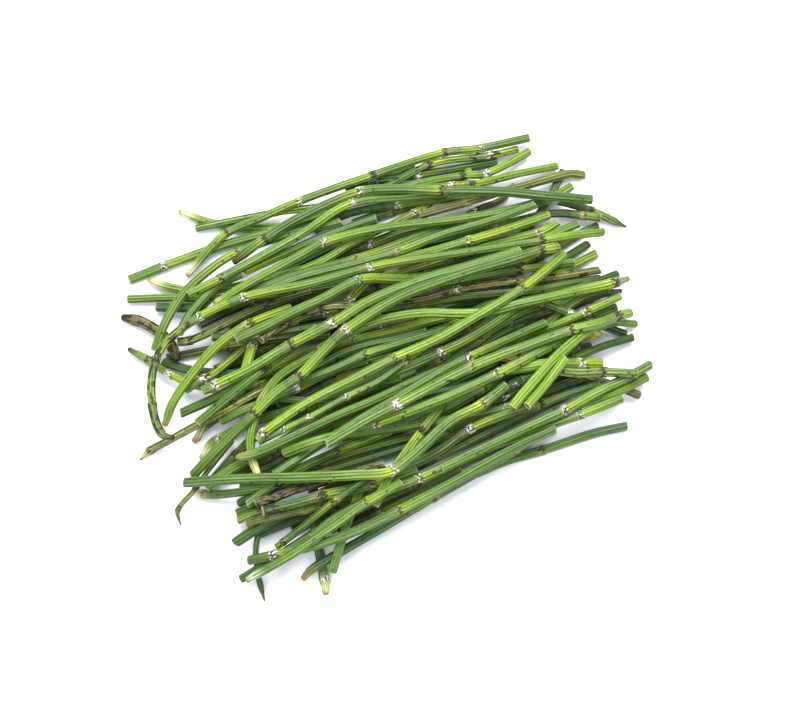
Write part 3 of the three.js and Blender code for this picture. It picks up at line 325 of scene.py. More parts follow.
def shown_of(routes):
    """First and last length of each stem at which it is clear of all later stems, that is
    further from their lines than half their width, and TUCK more."""
    counts = [math.ceil(route.length / STEP) for route in routes]
    at = [route.length * np.arange(n + 1) / n for route, n in zip(routes, counts)]
    spots = [smooth(route.at, route.xy, s) for route, s in zip(routes, at)]
    shown = []
    for n, (route, s) in enumerate(zip(routes, at)):
        clear = np.ones(len(s), bool)
        for later in range(n + 1, len(routes)):
            apart = spots[n][:, None] - spots[later][None]
            nearest = np.hypot(apart[..., 0], apart[..., 1]).min(axis=1)
            clear &= nearest > STEMS[later].diameter / 2
        if n < FLOOR_STEMS or not clear.any():
            shown.append((0.0, route.length))
            continue
        first, last = s[clear][0], s[clear][-1]
        shown.append((
            0.0 if first < TUCK + REMNANT else first - TUCK,
            route.length if last > route.length - TUCK - REMNANT else last + TUCK,
        ))
    return shown


shown = shown_of(routes)
print("total length kept", round(sum(b - a for a, b in shown)), "mm")

# %% [markdown]
# ## Rings
#
# The frame's rods have a ring at both ends, two at each joint, and more where a stretch would
# get long. The heap is laid with these rings, so the same ones are worked out here.

# %% Rings of one stem
BLUNT = 7  # mm over which an uncut end narrows
SHEATH = (0.6, 0.8)  # mm from a joint back to its sheath's widest ring, and on to the bare stem
RING_STEP = 20  # mm, the longest stretch between two rings
RING_APART = 1.2  # mm; of two rings nearer than this the second is left out
BARE_END = 2  # mm; a joint this near an end has no sheath


def rings_of(growth, ends, joints, start, stop):
    """Lengths of a stem's rings: the two ends, the full width behind an uncut end, and both
    sides of each joint. A stretch longer than RING_STEP is parted evenly."""
    at = [start, stop]
    if ends[0] != "cut":
        at.append(start + BLUNT)
    if ends[1] != "cut":
        at.append(stop - BLUNT)
    for joint in joints[(joints >= start + BARE_END) & (joints <= stop - BARE_END)]:
        at += [joint - growth * SHEATH[0], joint + growth * SHEATH[1]]
    at = np.sort(at)
    at = at[np.diff(at, prepend=-RING_STEP) > RING_APART]
    filled = [at[:1]]
    for low, high in zip(at, at[1:]):
        parts = math.ceil((high - low) / RING_STEP)
        share = np.arange(1, parts + 1) / parts
        filled.append(low + (high - low) * share)
    return np.concatenate(filled)


trial = rings_of(STEMS[0].growth, STEMS[0].ends, routes[0].joints, *shown[0])
print("rings of", STEMS[0].name, "at", trial.round(1), "mm")

# %% [markdown]
# ## Laying a stem on those before it
#
# Each point of a new stem must clear every stem already laid. Over a crossing the new stem
# hangs like a tight string from high point to high point; being springy it also keeps part of
# a straight stick's line. What would still press in is lifted. That is quicker and steadier
# than a rigid-body simulation, and every stem ends where its row says.

# %% What a stem has to clear
ROUND = 1.08  # corner radius of the frame's six-sided rods over the stem's radius
FLAT = math.cos(math.pi / 6)  # from a rod's middle to a flat, over its corner radius
SIDE_SLOPE = math.sqrt(3)  # of the flats beside the top one
GAP = 0.3  # mm of air between stems, in the frame
SINK = 0.6  # mm that fused stems are pressed into each other


def needs(diameter, group, feel, laid):
    """Lowest height of each feeling point: the height of the other stem's line at the nearest
    spot, plus flat over flat within half a width of it, less down the slope beyond that."""
    need = np.full(len(feel), ROUND * diameter * FLAT / 2)
    if not laid:
        return need
    a = np.concatenate([other.axis[:-1] for other in laid])
    b = np.concatenate([other.axis[1:] for other in laid])
    runs = [len(other.axis) - 1 for other in laid]
    widths = np.repeat([other.diameter for other in laid], runs)
    fused = np.repeat([other.group == group for other in laid], runs)
    air = np.where(fused, -SINK, GAP)
    reach = ROUND * (diameter + widths) / 2 + air / FLAT
    line = (b - a)[:, :2]
    run = (line**2).sum(axis=1)
    t = (((feel[:, None] - a[None, :, :2]) * line).sum(axis=2) / run).clip(0, 1)
    apart = feel[:, None] - a[None, :, :2] - line * t[..., None]
    off = np.hypot(apart[..., 0], apart[..., 1])
    rise = a[:, 2] + (b - a)[:, 2] * t
    over = np.minimum(reach * FLAT, (reach - off) * SIDE_SLOPE)
    tilt = np.hypot(1, (b - a)[:, 2] / np.sqrt(run))
    return np.maximum(need, np.where(off < reach, rise + over * tilt, 0).max(axis=1))


lowest = needs(STEMS[0].diameter, "", np.zeros((1, 2)), [])[0]
print("on the bare table the line of", STEMS[0].name, "lies", round(lowest, 2), "mm up")

# %% [markdown]
# ## String and stick
#
# The string is the upper hull of the needed heights. A stick can't follow every dip of it, so
# three tenths of the straight line over the stem's middle are mixed in, and then the rings are
# lifted, a little at each pass, until nothing presses into what lies below.

# %% Let one stem down
STIFF = 0.3  # share of the stick in the lie of a stem
PASSES = 40


def string_over(at, need):
    """Upper hull of the points (at, need): it never turns upward. Returns it and its corners."""
    kept = []
    for i, s in enumerate(at):
        while len(kept) > 1:
            a, b = kept[-2:]
            turn = (at[b] - at[a]) * (need[i] - need[a]) - (s - at[a]) * (need[b] - need[a])
            if turn < 0:
                break
            kept.pop()
        kept.append(i)
    return np.interp(at, at[kept], need[kept]), kept


def rest(ring_at, feel_at, need):
    """Heights of a stem's rings: string + STIFF (stick - string) where the stick is higher,
    then lifted. A point short by d at fraction t lifts its rings by d (1-t)/q and d t/q,
    with q = t2 + (1-t)2."""
    string, kept = string_over(feel_at, need)
    middle = (feel_at[0] + feel_at[-1]) / 2
    k = 1
    while k < len(kept) - 1 and feel_at[kept[k]] < middle:
        k += 1
    a, b = kept[k - 1], kept[k]
    rate = (need[b] - need[a]) / (feel_at[b] - feel_at[a])
    stick = need[a] + rate * (feel_at - feel_at[a])
    wish = string + STIFF * (np.maximum(stick, string) - string)
    height = np.interp(ring_at, feel_at, wish)
    j = np.searchsorted(ring_at[1:-1], feel_at, side="left") + 1
    t = ((feel_at - ring_at[j - 1]) / (ring_at[j] - ring_at[j - 1])).clip(max=1)
    for _ in range(PASSES):
        short = need - height[j - 1] - (height[j] - height[j - 1]) * t
        share = short.clip(min=0) / (t**2 + (1 - t) ** 2)
        lift = np.zeros(len(height))
        np.maximum.at(lift, j - 1, share * (1 - t))
        np.maximum.at(lift, j, share * t)
        height += lift
    return height


trial_at = np.linspace(0, 60, 7)
trial = rest(trial_at[::2], trial_at, np.array([2.0, 2.0, 2.0, 8.0, 2.0, 2.0, 2.0]))
print("a stem hung over a hump of 8 mm:", trial.round(1))

# %% [markdown]
# ## Twice over
#
# The routes were measured along a slanting line of sight, so a stem that lies high has really
# moved a little along that line. The heap is therefore laid twice: the first laying gives the
# heights, and the second moves each stem by its height times the slant before it is let down.

# %% Lay the heap
LEVEL = 8  # mm above the table at which the routes were measured
LEAN = math.tan(SIGHT_OFF_PLUMB)


def lay_heap(earlier):
    """Every stem in turn, on those before it. `earlier` is the same heap laid before."""
    laid = []
    for n, (row, route, (start, stop)) in enumerate(zip(STEMS, routes, shown)):
        ends = (
            row.ends[0] if start == 0 else "cut",
            row.ends[1] if stop == route.length else "cut",
        )
        ring_at = rings_of(row.growth, ends, route.joints, start, stop)
        hosts = [other.group for other in laid if other.name in row.hosts]
        group = hosts[0] if hosts else row.name
        for other in laid:
            other.group = group if other.group in hosts else other.group
        corners = smooth(route.at, route.xy, ring_at)
        if earlier:
            corners[:, 1] -= LEAN * (earlier[n].axis[:, 2] - LEVEL)
        count = max(math.ceil((stop - start) / STEP), 2)
        feel_at = start + (stop - start) * np.arange(count + 1) / count
        feel = np.stack([np.interp(feel_at, ring_at, corners[:, k]) for k in (0, 1)], axis=1)
        height = rest(ring_at, feel_at, needs(row.diameter, group, feel, laid))
        laid.append(SimpleNamespace(
            number=n, name=row.name, diameter=row.diameter, tone=row.tone, growth=row.growth,
            ends=ends, group=group, route=route, ring_at=ring_at,
            axis=np.column_stack([corners, height]),
        ))
    return laid


heap = lay_heap(lay_heap(None))
print("highest line", round(max(stem.axis[:, 2].max() for stem in heap), 1), "mm")

# %% [markdown]
# ## Stations along a stem
#
# The real skin is a grid: stations along the stem, corners round it. Stations stand close at
# joints and ends, where something happens, and 2 mm apart elsewhere. At a joint the sheath is
# a thin collar that hugs the stem for some 8 mm and ends in a ring of small pointed teeth;
# just past the teeth the stem is a little thinner and freshly green.

# %% Stations of one stem
SPACING = 2.0  # mm between the stations of a bare stretch
FEWEST = 6  # into how many the shortest stem is parted
AT_JOINT = (-9, -8, -6.5, -5, -3.6, -2.6, -1.9, -1.3, -0.7, 0, 0.12, 0.8, 1.8, 3.2, 5)
JOINT_KEEPS = (-9, 6)  # mm round a joint that only its own stations use
END_CLEAR = 0.4  # mm from an end to a joint's nearest station
RIM_THICK = 0.12  # mm; the rim's two stations are this far apart
TEETH_FADE = 3.0  # mm from the rim over which stations still follow the teeth
JUST_PAST = 0.1  # mm; a rim nearer than this isn't behind a station
FAR = 40.0  # stands for "no joint near", mm


def stations_of(stem):
    """Five rows of numbers, one column for each station: its length, mm back from the rim
    ahead (FAR off a sheath), mm past the last rim, how far it follows the teeth, that is
    (1 - mm from the rim / TEETH_FADE)2, and which joint it is at. Then the joints."""
    start, stop = stem.ring_at[0], stem.ring_at[-1]
    joints = stem.route.joints
    joints = joints[(joints > start + BARE_END) & (joints < stop - BARE_END)]
    low, high = JOINT_KEEPS
    columns = []
    for s in np.linspace(start, stop, max(int((stop - start) / SPACING), FEWEST))[1:-1]:
        past = (s - joints) * stem.growth
        if not ((past > low) & (past < high)).any():
            columns.append((s, FAR, min(past[past > 0], default=FAR), 0.0, -1))
    for number, joint in enumerate(joints):
        for q in AT_JOINT:
            s = joint + q * stem.growth
            others = np.abs(s - np.delete(joints, number))
            if not start + END_CLEAR < s < stop - END_CLEAR or (others < abs(q)).any():
                continue
            past = (s - joints) * stem.growth
            past = q if q > 0 else min(past[past > JUST_PAST], default=FAR)
            follow = max(0.0, 1 - max(abs(q) - RIM_THICK, 0) / TEETH_FADE) ** 2
            columns.append((s, -q if q <= 0 else FAR, past, stem.growth * follow, number))
    columns = np.array(columns)
    return columns[np.argsort(columns[:, 0])].T, joints


print("stations of", heap[-1].name, stations_of(heap[-1])[0].shape[1])

# %% [markdown]
# ## How wide a stem is
#
# Along its length a stem is nearly even. It swells a little up each sheath to the rim, has a
# waist just past it, narrows towards a grown end, and is faintly lumpy all over. On a sheath
# the ribs are half hidden.

# %% Rings along the skin
TAPER = {"cut": 1, "pale": 0.72, "dry": 0.62, "tip": 0.3}  # width at an end, over the stem's
SHEATH_LENGTH = 8.0  # mm
SHEATH_FOOT = (0.03, 0.2)  # how far its foot stands out, and over which share of its length
SHEATH_SMOOTH = (0.55, 0.25)  # how much of the ribs it hides, and from which share on
RIM_RISE = 0.12  # how far the rim stands out, over the stem's radius
WAIST = 0.06  # how much thinner the stem is just past the rim
WAIST_FADE = 2.5  # mm
LUMPS = ((0.015, 9), (0.012, 3.7))  # two waves: share of the width, mm for each radian
TURN = 6.28  # a full turn, near enough for where a chance wave starts


def ease(x, low, high):
    """0 up to low, 1 from high, and t2 (3 - 2t) between."""
    t = np.clip((x - low) / (high - low), 0, 1)
    return t * t * (3 - 2 * t)


def profile_of(stem, stations, draw):
    """What each station has, by name. Its width over the stem's is the taper of the ends,
    times 1 - WAIST e^(-past / WAIST_FADE), times 1 + foot + RIM_RISE on2 up a sheath, times
    1 + two sines."""
    s, before, past, teeth, which = stations
    wide = np.ones(len(s))
    for end, kind in zip((stem.ring_at[0], stem.ring_at[-1]), stem.ends):
        if kind != "cut":
            wide *= TAPER[kind] + (1 - TAPER[kind]) * ease(np.abs(s - end), 0, BLUNT)
    wide = wide * (1 - WAIST * np.exp(-past / WAIST_FADE) * (past < FAR))
    on = np.clip(1 - before / SHEATH_LENGTH, 0, 1)
    foot = SHEATH_FOOT[0] * ease(on, 0, SHEATH_FOOT[1])
    wide *= 1 + (foot + RIM_RISE * on**2) * (before < FAR)
    waves = [
        share * np.sin(s / length + begin)
        for (share, length), begin in zip(LUMPS, draw.uniform(0, TURN, len(LUMPS)))
    ]
    wide *= 1 + waves[0] + waves[1]
    ribbed = 1 - SHEATH_SMOOTH[0] * (before < FAR) * ease(on, 0, SHEATH_SMOOTH[1])
    return {
        "s": s, "wide": wide, "ribbed": ribbed, "before": before, "past": past,
        "teeth": teeth, "which": which, "cut": np.zeros(len(s)), "inside": np.zeros(len(s)),
    }


trial = profile_of(heap[-1], stations_of(heap[-1])[0], np.random.default_rng(1))["wide"]
print("width of", heap[-1].name, "over its own:", trial.min().round(2), "to", trial.max().round(2))

# %% [markdown]
# ## Ends
#
# A tube alone is open, and a stem cut with shears shows its hollow. So the grid goes on over
# the cut's wall, down a short bore and shuts at a point on its floor. A grown end rounds off
# instead.

# %% Rings over an end
BORE = 0.62  # radius of the hollow over the stem's
BORE_DEPTH = 4.0  # mm
# over a cut, from the skin to the bore's floor: mm into the stem, width, how much of what is seen
# is cut face, how much is painted shade in the bore, how much of the ribs is left
CUT_RINGS = (
    (0.5, 1.0, 0, 0, 0.8),
    (0.08, 0.99, 0.6, 0, 0.5),
    (0.0, 0.95, 1, 0, 0),
    (0.0, 0.68, 1, 0.15, 0),
    (0.3, BORE, 1, 0.7, 0),
    (BORE_DEPTH, 0.56, 1, 1, 0),
)
TIP_RINGS = {  # mm into the stem, so past its end where it's less than 0, and width
    "pale": ((0.0, 0.72), (-0.7, 0.62), (-1.1, 0.42), (-0.9, 0.22)),
    "dry": ((0.0, 0.62), (-0.4, 0.55), (-0.7, 0.36), (-0.5, 0.18)),
    "tip": ((0.0, 0.30), (-0.4, 0.26), (-0.7, 0.16), (-0.75, 0.08)),
}


def cap_of(kind, end, way):
    """The rings over the end at length `end`; `way` is 1 or -1, towards the stem's middle."""
    columns = np.array(CUT_RINGS if kind == "cut" else TIP_RINGS[kind]).T
    none = np.zeros(columns.shape[1])
    cap = {"before": none + FAR, "past": none + FAR, "teeth": none, "which": none - 1}
    cap |= {"cut": none, "inside": none, "ribbed": none}
    cap |= dict(zip(("into", "wide", "cut", "inside", "ribbed"), columns))
    cap["s"] = end + way * cap["into"]
    return cap


print("rings over a cut:", len(CUT_RINGS), "and round a tip:", len(TIP_RINGS["tip"]))

# %% [markdown]
# ## The stem's own line
#
# The frame's rods run straight from ring to ring. The skin follows a curve instead: the smooth
# route in plan, moved by as much as the laying moved each ring, at the smooth height.


# %% Line of one stem
def line_of(stem):
    """A function from lengths to places: smooth route + smooth curve through (where the rings
    were laid - where the route has them), with the heights as they are."""
    low, high = stem.ring_at[0], stem.ring_at[-1]
    shift = np.column_stack([
        stem.axis[:, :2] - smooth(stem.route.at, stem.route.xy, stem.ring_at), stem.axis[:, 2],
    ])

    def line(s):
        inside = s.ravel().clip(low, high)
        xyz = smooth(stem.ring_at, shift, inside)
        xyz[:, :2] += smooth(stem.route.at, stem.route.xy, inside)
        return xyz.reshape(*s.shape, 3)

    return line


print("first spot of", heap[-1].name, line_of(heap[-1])(heap[-1].ring_at[:1]).round(1), "mm")

# %% [markdown]
# ## The closed skin
#
# Round the line stands the grid. Its radius carries the ribs, one wave for each rib, faded out
# on sheaths and ends. Teeth are made by sliding corners along the stem: forward where a rib
# is, back between two. A cut isn't quite square, so its corners slide too.

# %% One stem as a grid
CORNERS = 5  # grid corners to each rib
RIBS_TO_MM = 1.5  # ribs for each mm of the stem's thickness
RIBS_MORE = (0.2, 1.6)  # and by chance so many more
RIB = 0.085  # height of a rib, over the radius
RIB_CHANCE = (0.7, 1.3)
RIB_LEVEL = 0.4  # of a rib's wave, at the stem's own radius
TOOTH = 2.0  # mm, length of a tooth
TWIST = 0.004  # most that the ribs turn, in radians for each mm
SLANT = 0.35  # most that a cut leans, over the radius
SLANT_REACH = (1, 5)  # mm from a cut over which its slant is lost
HALF_STEP = 0.5  # mm to each side of a ring, for the line's direction
POLE_IN = 0.1  # mm that the point of a grown end is drawn in


def skin_of(stem, draw):
    """The closed grid: line + radius (cos angle, sin angle) across it, where the radius is
    half the thickness times width times 1 + rib (cos phase - RIB_LEVEL). Gives its corners,
    (rings, corners round, 3) in mm, its two poles, and what the finish needs at each ring."""
    stations, joints = stations_of(stem)
    start, stop = stem.ring_at[0], stem.ring_at[-1]
    ribs = int(round(stem.diameter * RIBS_TO_MM + draw.uniform(*RIBS_MORE)))
    across = ribs * CORNERS
    along = profile_of(stem, stations, draw)
    head, foot = cap_of(stem.ends[0], start, 1), cap_of(stem.ends[1], stop, -1)
    rings = {
        key: np.concatenate([head[key][::-1], along[key], foot[key]]) for key in along
    }
    s = rings["s"]
    # the angle starts at the underside and turns slowly along the stem, the ribs with it
    twist = draw.uniform(-TWIST, TWIST) * s
    angle = -math.pi / 2 + 2 * math.pi * np.arange(across)[None] / across + twist[:, None]
    phase = np.broadcast_to(2 * math.pi * np.arange(across) / CORNERS, angle.shape)
    tall = RIB * draw.uniform(*RIB_CHANCE)
    radius = stem.diameter / 2 * rings["wide"][:, None]
    radius = radius * (1 + tall * rings["ribbed"][:, None] * (np.cos(phase) - RIB_LEVEL))
    slants = draw.uniform(-SLANT, SLANT, 2)
    swings = draw.uniform(0, TURN, 2)
    slide = TOOTH / 2 * rings["teeth"][:, None] * np.cos(phase)
    for kind, slant, swing, inward in zip(stem.ends, slants, swings, (s - start, stop - s)):
        if kind == "cut":
            near = 1 - ease(inward, *SLANT_REACH)
            slide = slide + near[:, None] * slant * radius * np.cos(angle + swing)
    place = s[:, None] + slide
    line = line_of(stem)
    middle = s.clip(start + HALF_STEP, stop - HALF_STEP)
    ahead = line(middle + HALF_STEP) - line(middle - HALF_STEP)
    ahead /= np.linalg.norm(ahead, axis=1)[:, None]
    # past its ends the line runs on straight
    beyond = place - place.clip(start, stop)
    spot = line(place) + beyond[..., None] * ahead[:, None]
    side = np.cross(ahead, (0, 0, 1.0))
    side /= np.linalg.norm(side, axis=1)[:, None]
    over = np.cross(side, ahead)
    outward = np.cos(angle)[..., None] * side[:, None] + np.sin(angle)[..., None] * over[:, None]
    poles = spot[[0, -1]].mean(axis=1)
    for end, way in ((0, 1), (-1, -1)):
        if stem.ends[end] != "cut":
            poles[end] += way * POLE_IN * ahead[end]
    return SimpleNamespace(
        corners=spot + radius[..., None] * outward, poles=poles, rings=rings, ribs=ribs,
        phase=phase, joints=len(joints),
    )


trial = skin_of(heap[-1], np.random.default_rng(1))
print("skin of", heap[-1].name, trial.corners.shape, "with", trial.ribs, "ribs")

# %% [markdown]
# ## Tones
#
# Slow changes of colour sit on the mesh itself, as one colour for each corner: the stem's own
# green, fresh and yellow just past a joint, dull on the old sheath, cream or brown at the
# ends. Fine marks such as teeth and bruises come later, in the material, where they stay
# crisp. Colours are given as a painter would name them, 0 to 255, and made linear for Blender.


# %% Tones of the stems
def paint(*rgb):
    """Screen colour 0-255 to the linear colour that Blender works in: c / 12.92 up to 0.04045,
    ((c + 0.055) / 1.055) to the power 2.4 above."""
    c = np.array(rgb, float) / 255
    return np.where(c <= 0.04045, c / 12.92, ((c + 0.055) / 1.055) ** 2.4)


TONES = {
    "leaf": paint(88, 122, 42),
    "light": paint(117, 150, 43),
    "deep": paint(53, 84, 34),
    "olive": paint(94, 102, 50),
    "dry": paint(108, 102, 54),
}
OWN_TONES = {
    "a09": paint(124, 104, 64),  # the one husk
    "a20": paint(66, 98, 44), "b01": paint(80, 108, 46), "b21": paint(84, 78, 46),
    "c15": paint(112, 116, 52), "c20": paint(72, 98, 44), "c25": paint(84, 120, 46),
    "c26": paint(104, 126, 58), "d04": paint(102, 134, 46), "d11": paint(112, 146, 44),
    "e01": paint(98, 132, 50), "e03": paint(92, 124, 44),
}
UNDERMOST_SHADE = 0.8  # painted shade: the stems f and g lie undermost, so they are drawn darker
LIGHTNESS = (0.78, 1.16)  # how light a stem is, by chance
TINT = (0.97, 1.03)  # and how far its red, green and blue are off
DRIFT = 0.3  # how far a stem's colour drifts to another tone and back
DRIFT_LENGTH = (14, 30)  # mm of the stem for each radian of that
DRIFT_BEGIN = (0, 6)
print("leaf green", TONES["leaf"].round(3))

# %% [markdown]
# ## Joints and ends
#
# A stem grows from just past each joint, so it is freshest there. The sheath itself is old and
# dull, with a paler collar under its teeth. A grown end is pale like straw or has dried brown, and
# its very last bit is darker. A cut is creamy round a hollow that is darkened with painted shade.

# %% Colours of joints and ends
FRESH = paint(154, 180, 38)
FRESH_SHARE = {"leaf": 0.65, "light": 0.8, "deep": 0.45, "olive": 0.3, "dry": 0.1}
OWN_FRESH = {"a20": 0.15, "b01": 0.8, "c20": 0.7, "e01": 0.5, "e03": 0.9}
FRESH_FADE = (6, 22)  # mm
SHEATH_DULL = paint(112, 124, 66)
SHEATH_SHARE = 0.55
SHEATH_TONE = 0.35  # how much of the stem's tone is in the sheath's
SHEATH_FADE = (0, 1.5)  # mm from its foot
COLLAR = paint(178, 178, 92)
COLLAR_SHARE = (0.1, 0.8)
COLLAR_FADE = (0.8, 4)  # mm back from the rim
STRAW = paint(228, 230, 158)
UMBER = paint(84, 66, 32)
END_COLOURS = {"pale": STRAW, "dry": UMBER, "tip": UMBER}
OWN_ENDS = {
    "a21": paint(206, 208, 124), "b25": paint(156, 146, 66), "e04": paint(178, 198, 150),
    "b21": paint(196, 196, 84), "c14": paint(150, 168, 70), "c15": paint(196, 176, 84),
    "c16": paint(255, 238, 166), "d04": paint(120, 104, 56), "d08": paint(168, 186, 96),
}
END_SHARE = 0.9
END_FULL = 2  # mm of an end that has all of its colour
END_LENGTH = {"pale": 12, "dry": 7, "tip": 9}  # mm at which none is left
LAST_BIT = {"pale": paint(150, 98, 44), "dry": UMBER * 0.4, "tip": UMBER * 0.6}
LAST_FADE = (0.5, 2.2)  # mm
CREAM = paint(226, 212, 158)
CREAM_SHARE = 0.8
# painted shade inside the bore of a cut
HOLLOW_SHADE = paint(58, 66, 36) * 0.4
DARKEST = 0.002


def blend(a, b, share):
    """a + (b - a) share, for every corner's share."""
    return a + (b - a) * np.asarray(share)[..., None]


def colours_of(stem, skin, draw):
    """Linear colour at every corner of a stem's grid: the tone, blended in turn with what
    lies over it, by shares that are the same all round a ring."""
    rings = skin.rings
    s, before = rings["s"], rings["before"]
    around = np.ones(skin.phase.shape[1])
    tone = OWN_TONES.get(stem.name, TONES[stem.tone])
    tone = tone * draw.uniform(*LIGHTNESS) * draw.uniform(*TINT, 3)
    # painted shade: the undermost stems are drawn darker
    tone = tone * (UNDERMOST_SHADE if stem.name[0] in "fg" else 1)
    colour = np.broadcast_to(tone, (*skin.phase.shape, 3))
    drift = np.sin(s / draw.uniform(*DRIFT_LENGTH) + draw.uniform(*DRIFT_BEGIN)) * 0.5 + 0.5
    other = TONES[draw.choice(["leaf", "deep", "light"])]
    colour = blend(colour, other, np.outer(DRIFT * drift, around))
    fresh = OWN_FRESH.get(stem.name, FRESH_SHARE[stem.tone])
    fresh = fresh * np.exp(-rings["past"] / draw.uniform(*FRESH_FADE))
    colour = blend(colour, FRESH, np.outer(fresh * (before >= FAR), around))
    sheath = SHEATH_SHARE * ease(SHEATH_LENGTH - before, *SHEATH_FADE)
    colour = blend(colour, blend(SHEATH_DULL, tone, SHEATH_TONE), np.outer(sheath, around))
    collar = draw.uniform(*COLLAR_SHARE) * (1 - ease(before, *COLLAR_FADE))
    colour = blend(colour, COLLAR, np.outer(collar, around))
    for end, kind in ((s.min(), stem.ends[0]), (s.max(), stem.ends[1])):
        if kind == "cut":
            continue
        far = np.abs(s - end)
        share = END_SHARE * (1 - ease(far, END_FULL, END_LENGTH[kind]))
        grown_end = OWN_ENDS.get(stem.name, END_COLOURS[kind])
        colour = blend(colour, grown_end, np.outer(share, around))
        last = END_SHARE * (1 - ease(far, *LAST_FADE))
        colour = blend(colour, LAST_BIT[kind], np.outer(last, around))
    cut = rings["cut"] * (1 - rings["inside"])
    colour = blend(colour, CREAM, np.outer(CREAM_SHARE * cut, around))
    # painted shade down the bore
    colour = blend(colour, HOLLOW_SHADE, np.outer(rings["inside"], around))
    return colour.clip(DARKEST, 1)


print("colours of", heap[-1].name, colours_of(heap[-1], trial, np.random.default_rng(1)).shape)

# %% [markdown]
# ## Building materials
#
# A material is a tree of small nodes. Linking dozens of them one by one hides the recipe, so a
# helper adds a node, sets its numbers on its own sockets and links the rest.


# %% Small node helpers
class Nodes:
    """Adds nodes to one material and links them; a value may be a number or another output."""

    def __init__(self, name):
        self.material = bpy.data.materials.new(name)
        self.material.use_nodes = True
        self.tree = self.material.node_tree
        self.shader = self.tree.nodes["Principled BSDF"]

    def put(self, socket, value):
        """Links an output to the socket, or sets the socket's own value."""
        if isinstance(value, bpy.types.NodeSocket):
            self.tree.links.new(value, socket)
        else:
            socket.default_value = value

    def add(self, kind, inputs=(), **settings):
        """A node of this kind, with its settings and its inputs by name or number."""
        node = self.tree.nodes.new(kind)
        for key, value in settings.items():
            setattr(node, key, value)
        for socket, value in dict(inputs).items():
            self.put(node.inputs[socket], value)
        return node

    def math(self, operation, a, b=0.0):
        return self.add("ShaderNodeMath", {0: a, 1: b}, operation=operation).outputs[0]

    def plus(self, a, b):
        return self.math("ADD", a, b)

    def minus(self, a, b):
        return self.math("SUBTRACT", a, b)

    def times(self, a, b):
        return self.math("MULTIPLY", a, b)

    def larger(self, a, b):
        return self.math("MAXIMUM", a, b)

    def ramp(self, value, low, high, to_low=0.0, to_high=1.0):
        """Eases a value from low..high to to_low..to_high."""
        inputs = {"Value": value, "From Min": low, "From Max": high}
        inputs.update({"To Min": to_low, "To Max": to_high})
        node = self.add("ShaderNodeMapRange", inputs, interpolation_type="SMOOTHSTEP")
        return node.outputs["Result"]

    def mix(self, share, a, b, blend_type="MIX"):
        """Colour a, and by its share b; 6, 7 and 2 are the node's colour sockets."""
        settings = {"data_type": "RGBA", "blend_type": blend_type}
        return self.add("ShaderNodeMix", {0: share, 6: a, 7: b}, **settings).outputs[2]

    def at(self, x, y, z):
        return self.add("ShaderNodeCombineXYZ", {0: x, 1: y, 2: z}).outputs[0]

    def parts(self, vector):
        return self.add("ShaderNodeSeparateXYZ", {0: vector}).outputs[:]

    def attribute(self, name, output):
        return self.add("ShaderNodeAttribute", attribute_name=name).outputs[output]


def rgba(colour):
    """A painted colour as the four numbers that a colour socket takes."""
    return (*[float(c) for c in colour], 1.0)


print("helpers:", ", ".join(name for name in vars(Nodes) if name[0] != "_"))

# %% [markdown]
# ## What the skin's recipe reads
#
# One recipe makes all five finishes. It reads the stem's own UV map, where U counts ribs and V is
# mm along the stem, so every mark follows the stem however it bends. It also reads three
# attributes. `tone` is the colour laid on the corners. `marks` holds mm back from the rim, what
# its teeth are like (1 white, 0 bare, -1 a dark clump), and how strong the painted highlight and
# shade of the ribs are. `state` holds how worn the stem is, a number of its own, so that no two
# stems bear the same pattern, and 1 where there is skin at all, 0 on a cut.

# %% The skin's nodes
FIELDS = {  # random fields: turns to a rib, turns to a mm of the stem, detail
    "crest": (1.7, 0.05, 3.0),
    "patch": (0.05, 0.006, 1.0),
    "groove": (1.3, 0.04, 2.0),
    "streak": (0.8, 0.018, 4.0),
    "grain": (5.0, 0.8, 3.0),
    "bruise": (0.9, 0.2, 5.0),
    "line": (1.6, 0.2, 3.0),
    "ragged": (1.1, 0.6, 3.0),
    "torn": (1.5, 1.1, 2.0),
    "paper": (4.0, 2.5, 2.0),
}


class SkinNodes(Nodes):
    """Nodes that know a stem's map, its attributes and the wave of its ribs."""

    def __init__(self, name):
        super().__init__(name)
        self.u, self.v, _ = self.parts(self.add("ShaderNodeUVMap", uv_map="along").outputs[0])
        self.wave = self.math("COSINE", self.times(self.u, 2 * math.pi))
        self.tone = self.attribute("tone", "Color")
        self.before, self.joint, self.ribbed = self.parts(self.attribute("marks", "Vector"))
        self.worn, self.own, self.skin = self.parts(self.attribute("state", "Vector"))

    def spread(self, across, lengthways):
        """The place on the skin, with so many turns to a rib and to a mm, apart by stem."""
        return self.at(self.times(self.u, across), self.times(self.v, lengthways), self.own)

    def field(self, name):
        """One of FIELDS, from 0 to 1."""
        across, lengthways, detail = FIELDS[name]
        inputs = {"Vector": self.spread(across, lengthways), "Scale": 1.0, "Detail": detail}
        return self.add("ShaderNodeTexNoise", inputs).outputs["Fac"]


print(len(FIELDS), "fields:", ", ".join(FIELDS))

# %% [markdown]
# ## Ribs and streaks
#
# The rib crests carry a painted highlight and the grooves between them painted shade. Both come
# and go along the stem and fade out in patches, because a pattern that is the same everywhere
# looks printed.

# %% Ribs and streaks
CREST_HIGHLIGHT = (2.2, 1.92, 2.2, 1)  # painted highlight: how much lighter a crest is than the skin
CREST_HIGHLIGHT_ADD = (0.02, 0.034, 0.01, 1)  # and what the painted highlight adds, which shows on dark stems
GROOVE_SHADE = (0.28, 0.36, 0.28, 1)
# each ramp: from, to, and the strengths there where they aren't 0 and 1
CREST_WAVE = (0.5, 1.0)
GROOVE_WAVE = (-0.35, -0.95)
CREST_RAMP = (0.38, 0.62)
PATCH_RAMP = (0.35, 0.65, 0.35, 1.0)
GROOVE_RAMP = (0.35, 0.6, 0.35, 1.0)
STREAK_RAMP = (0.3, 0.7)
GRAIN_RAMP = (0.3, 0.7, 0.8, 1.2)


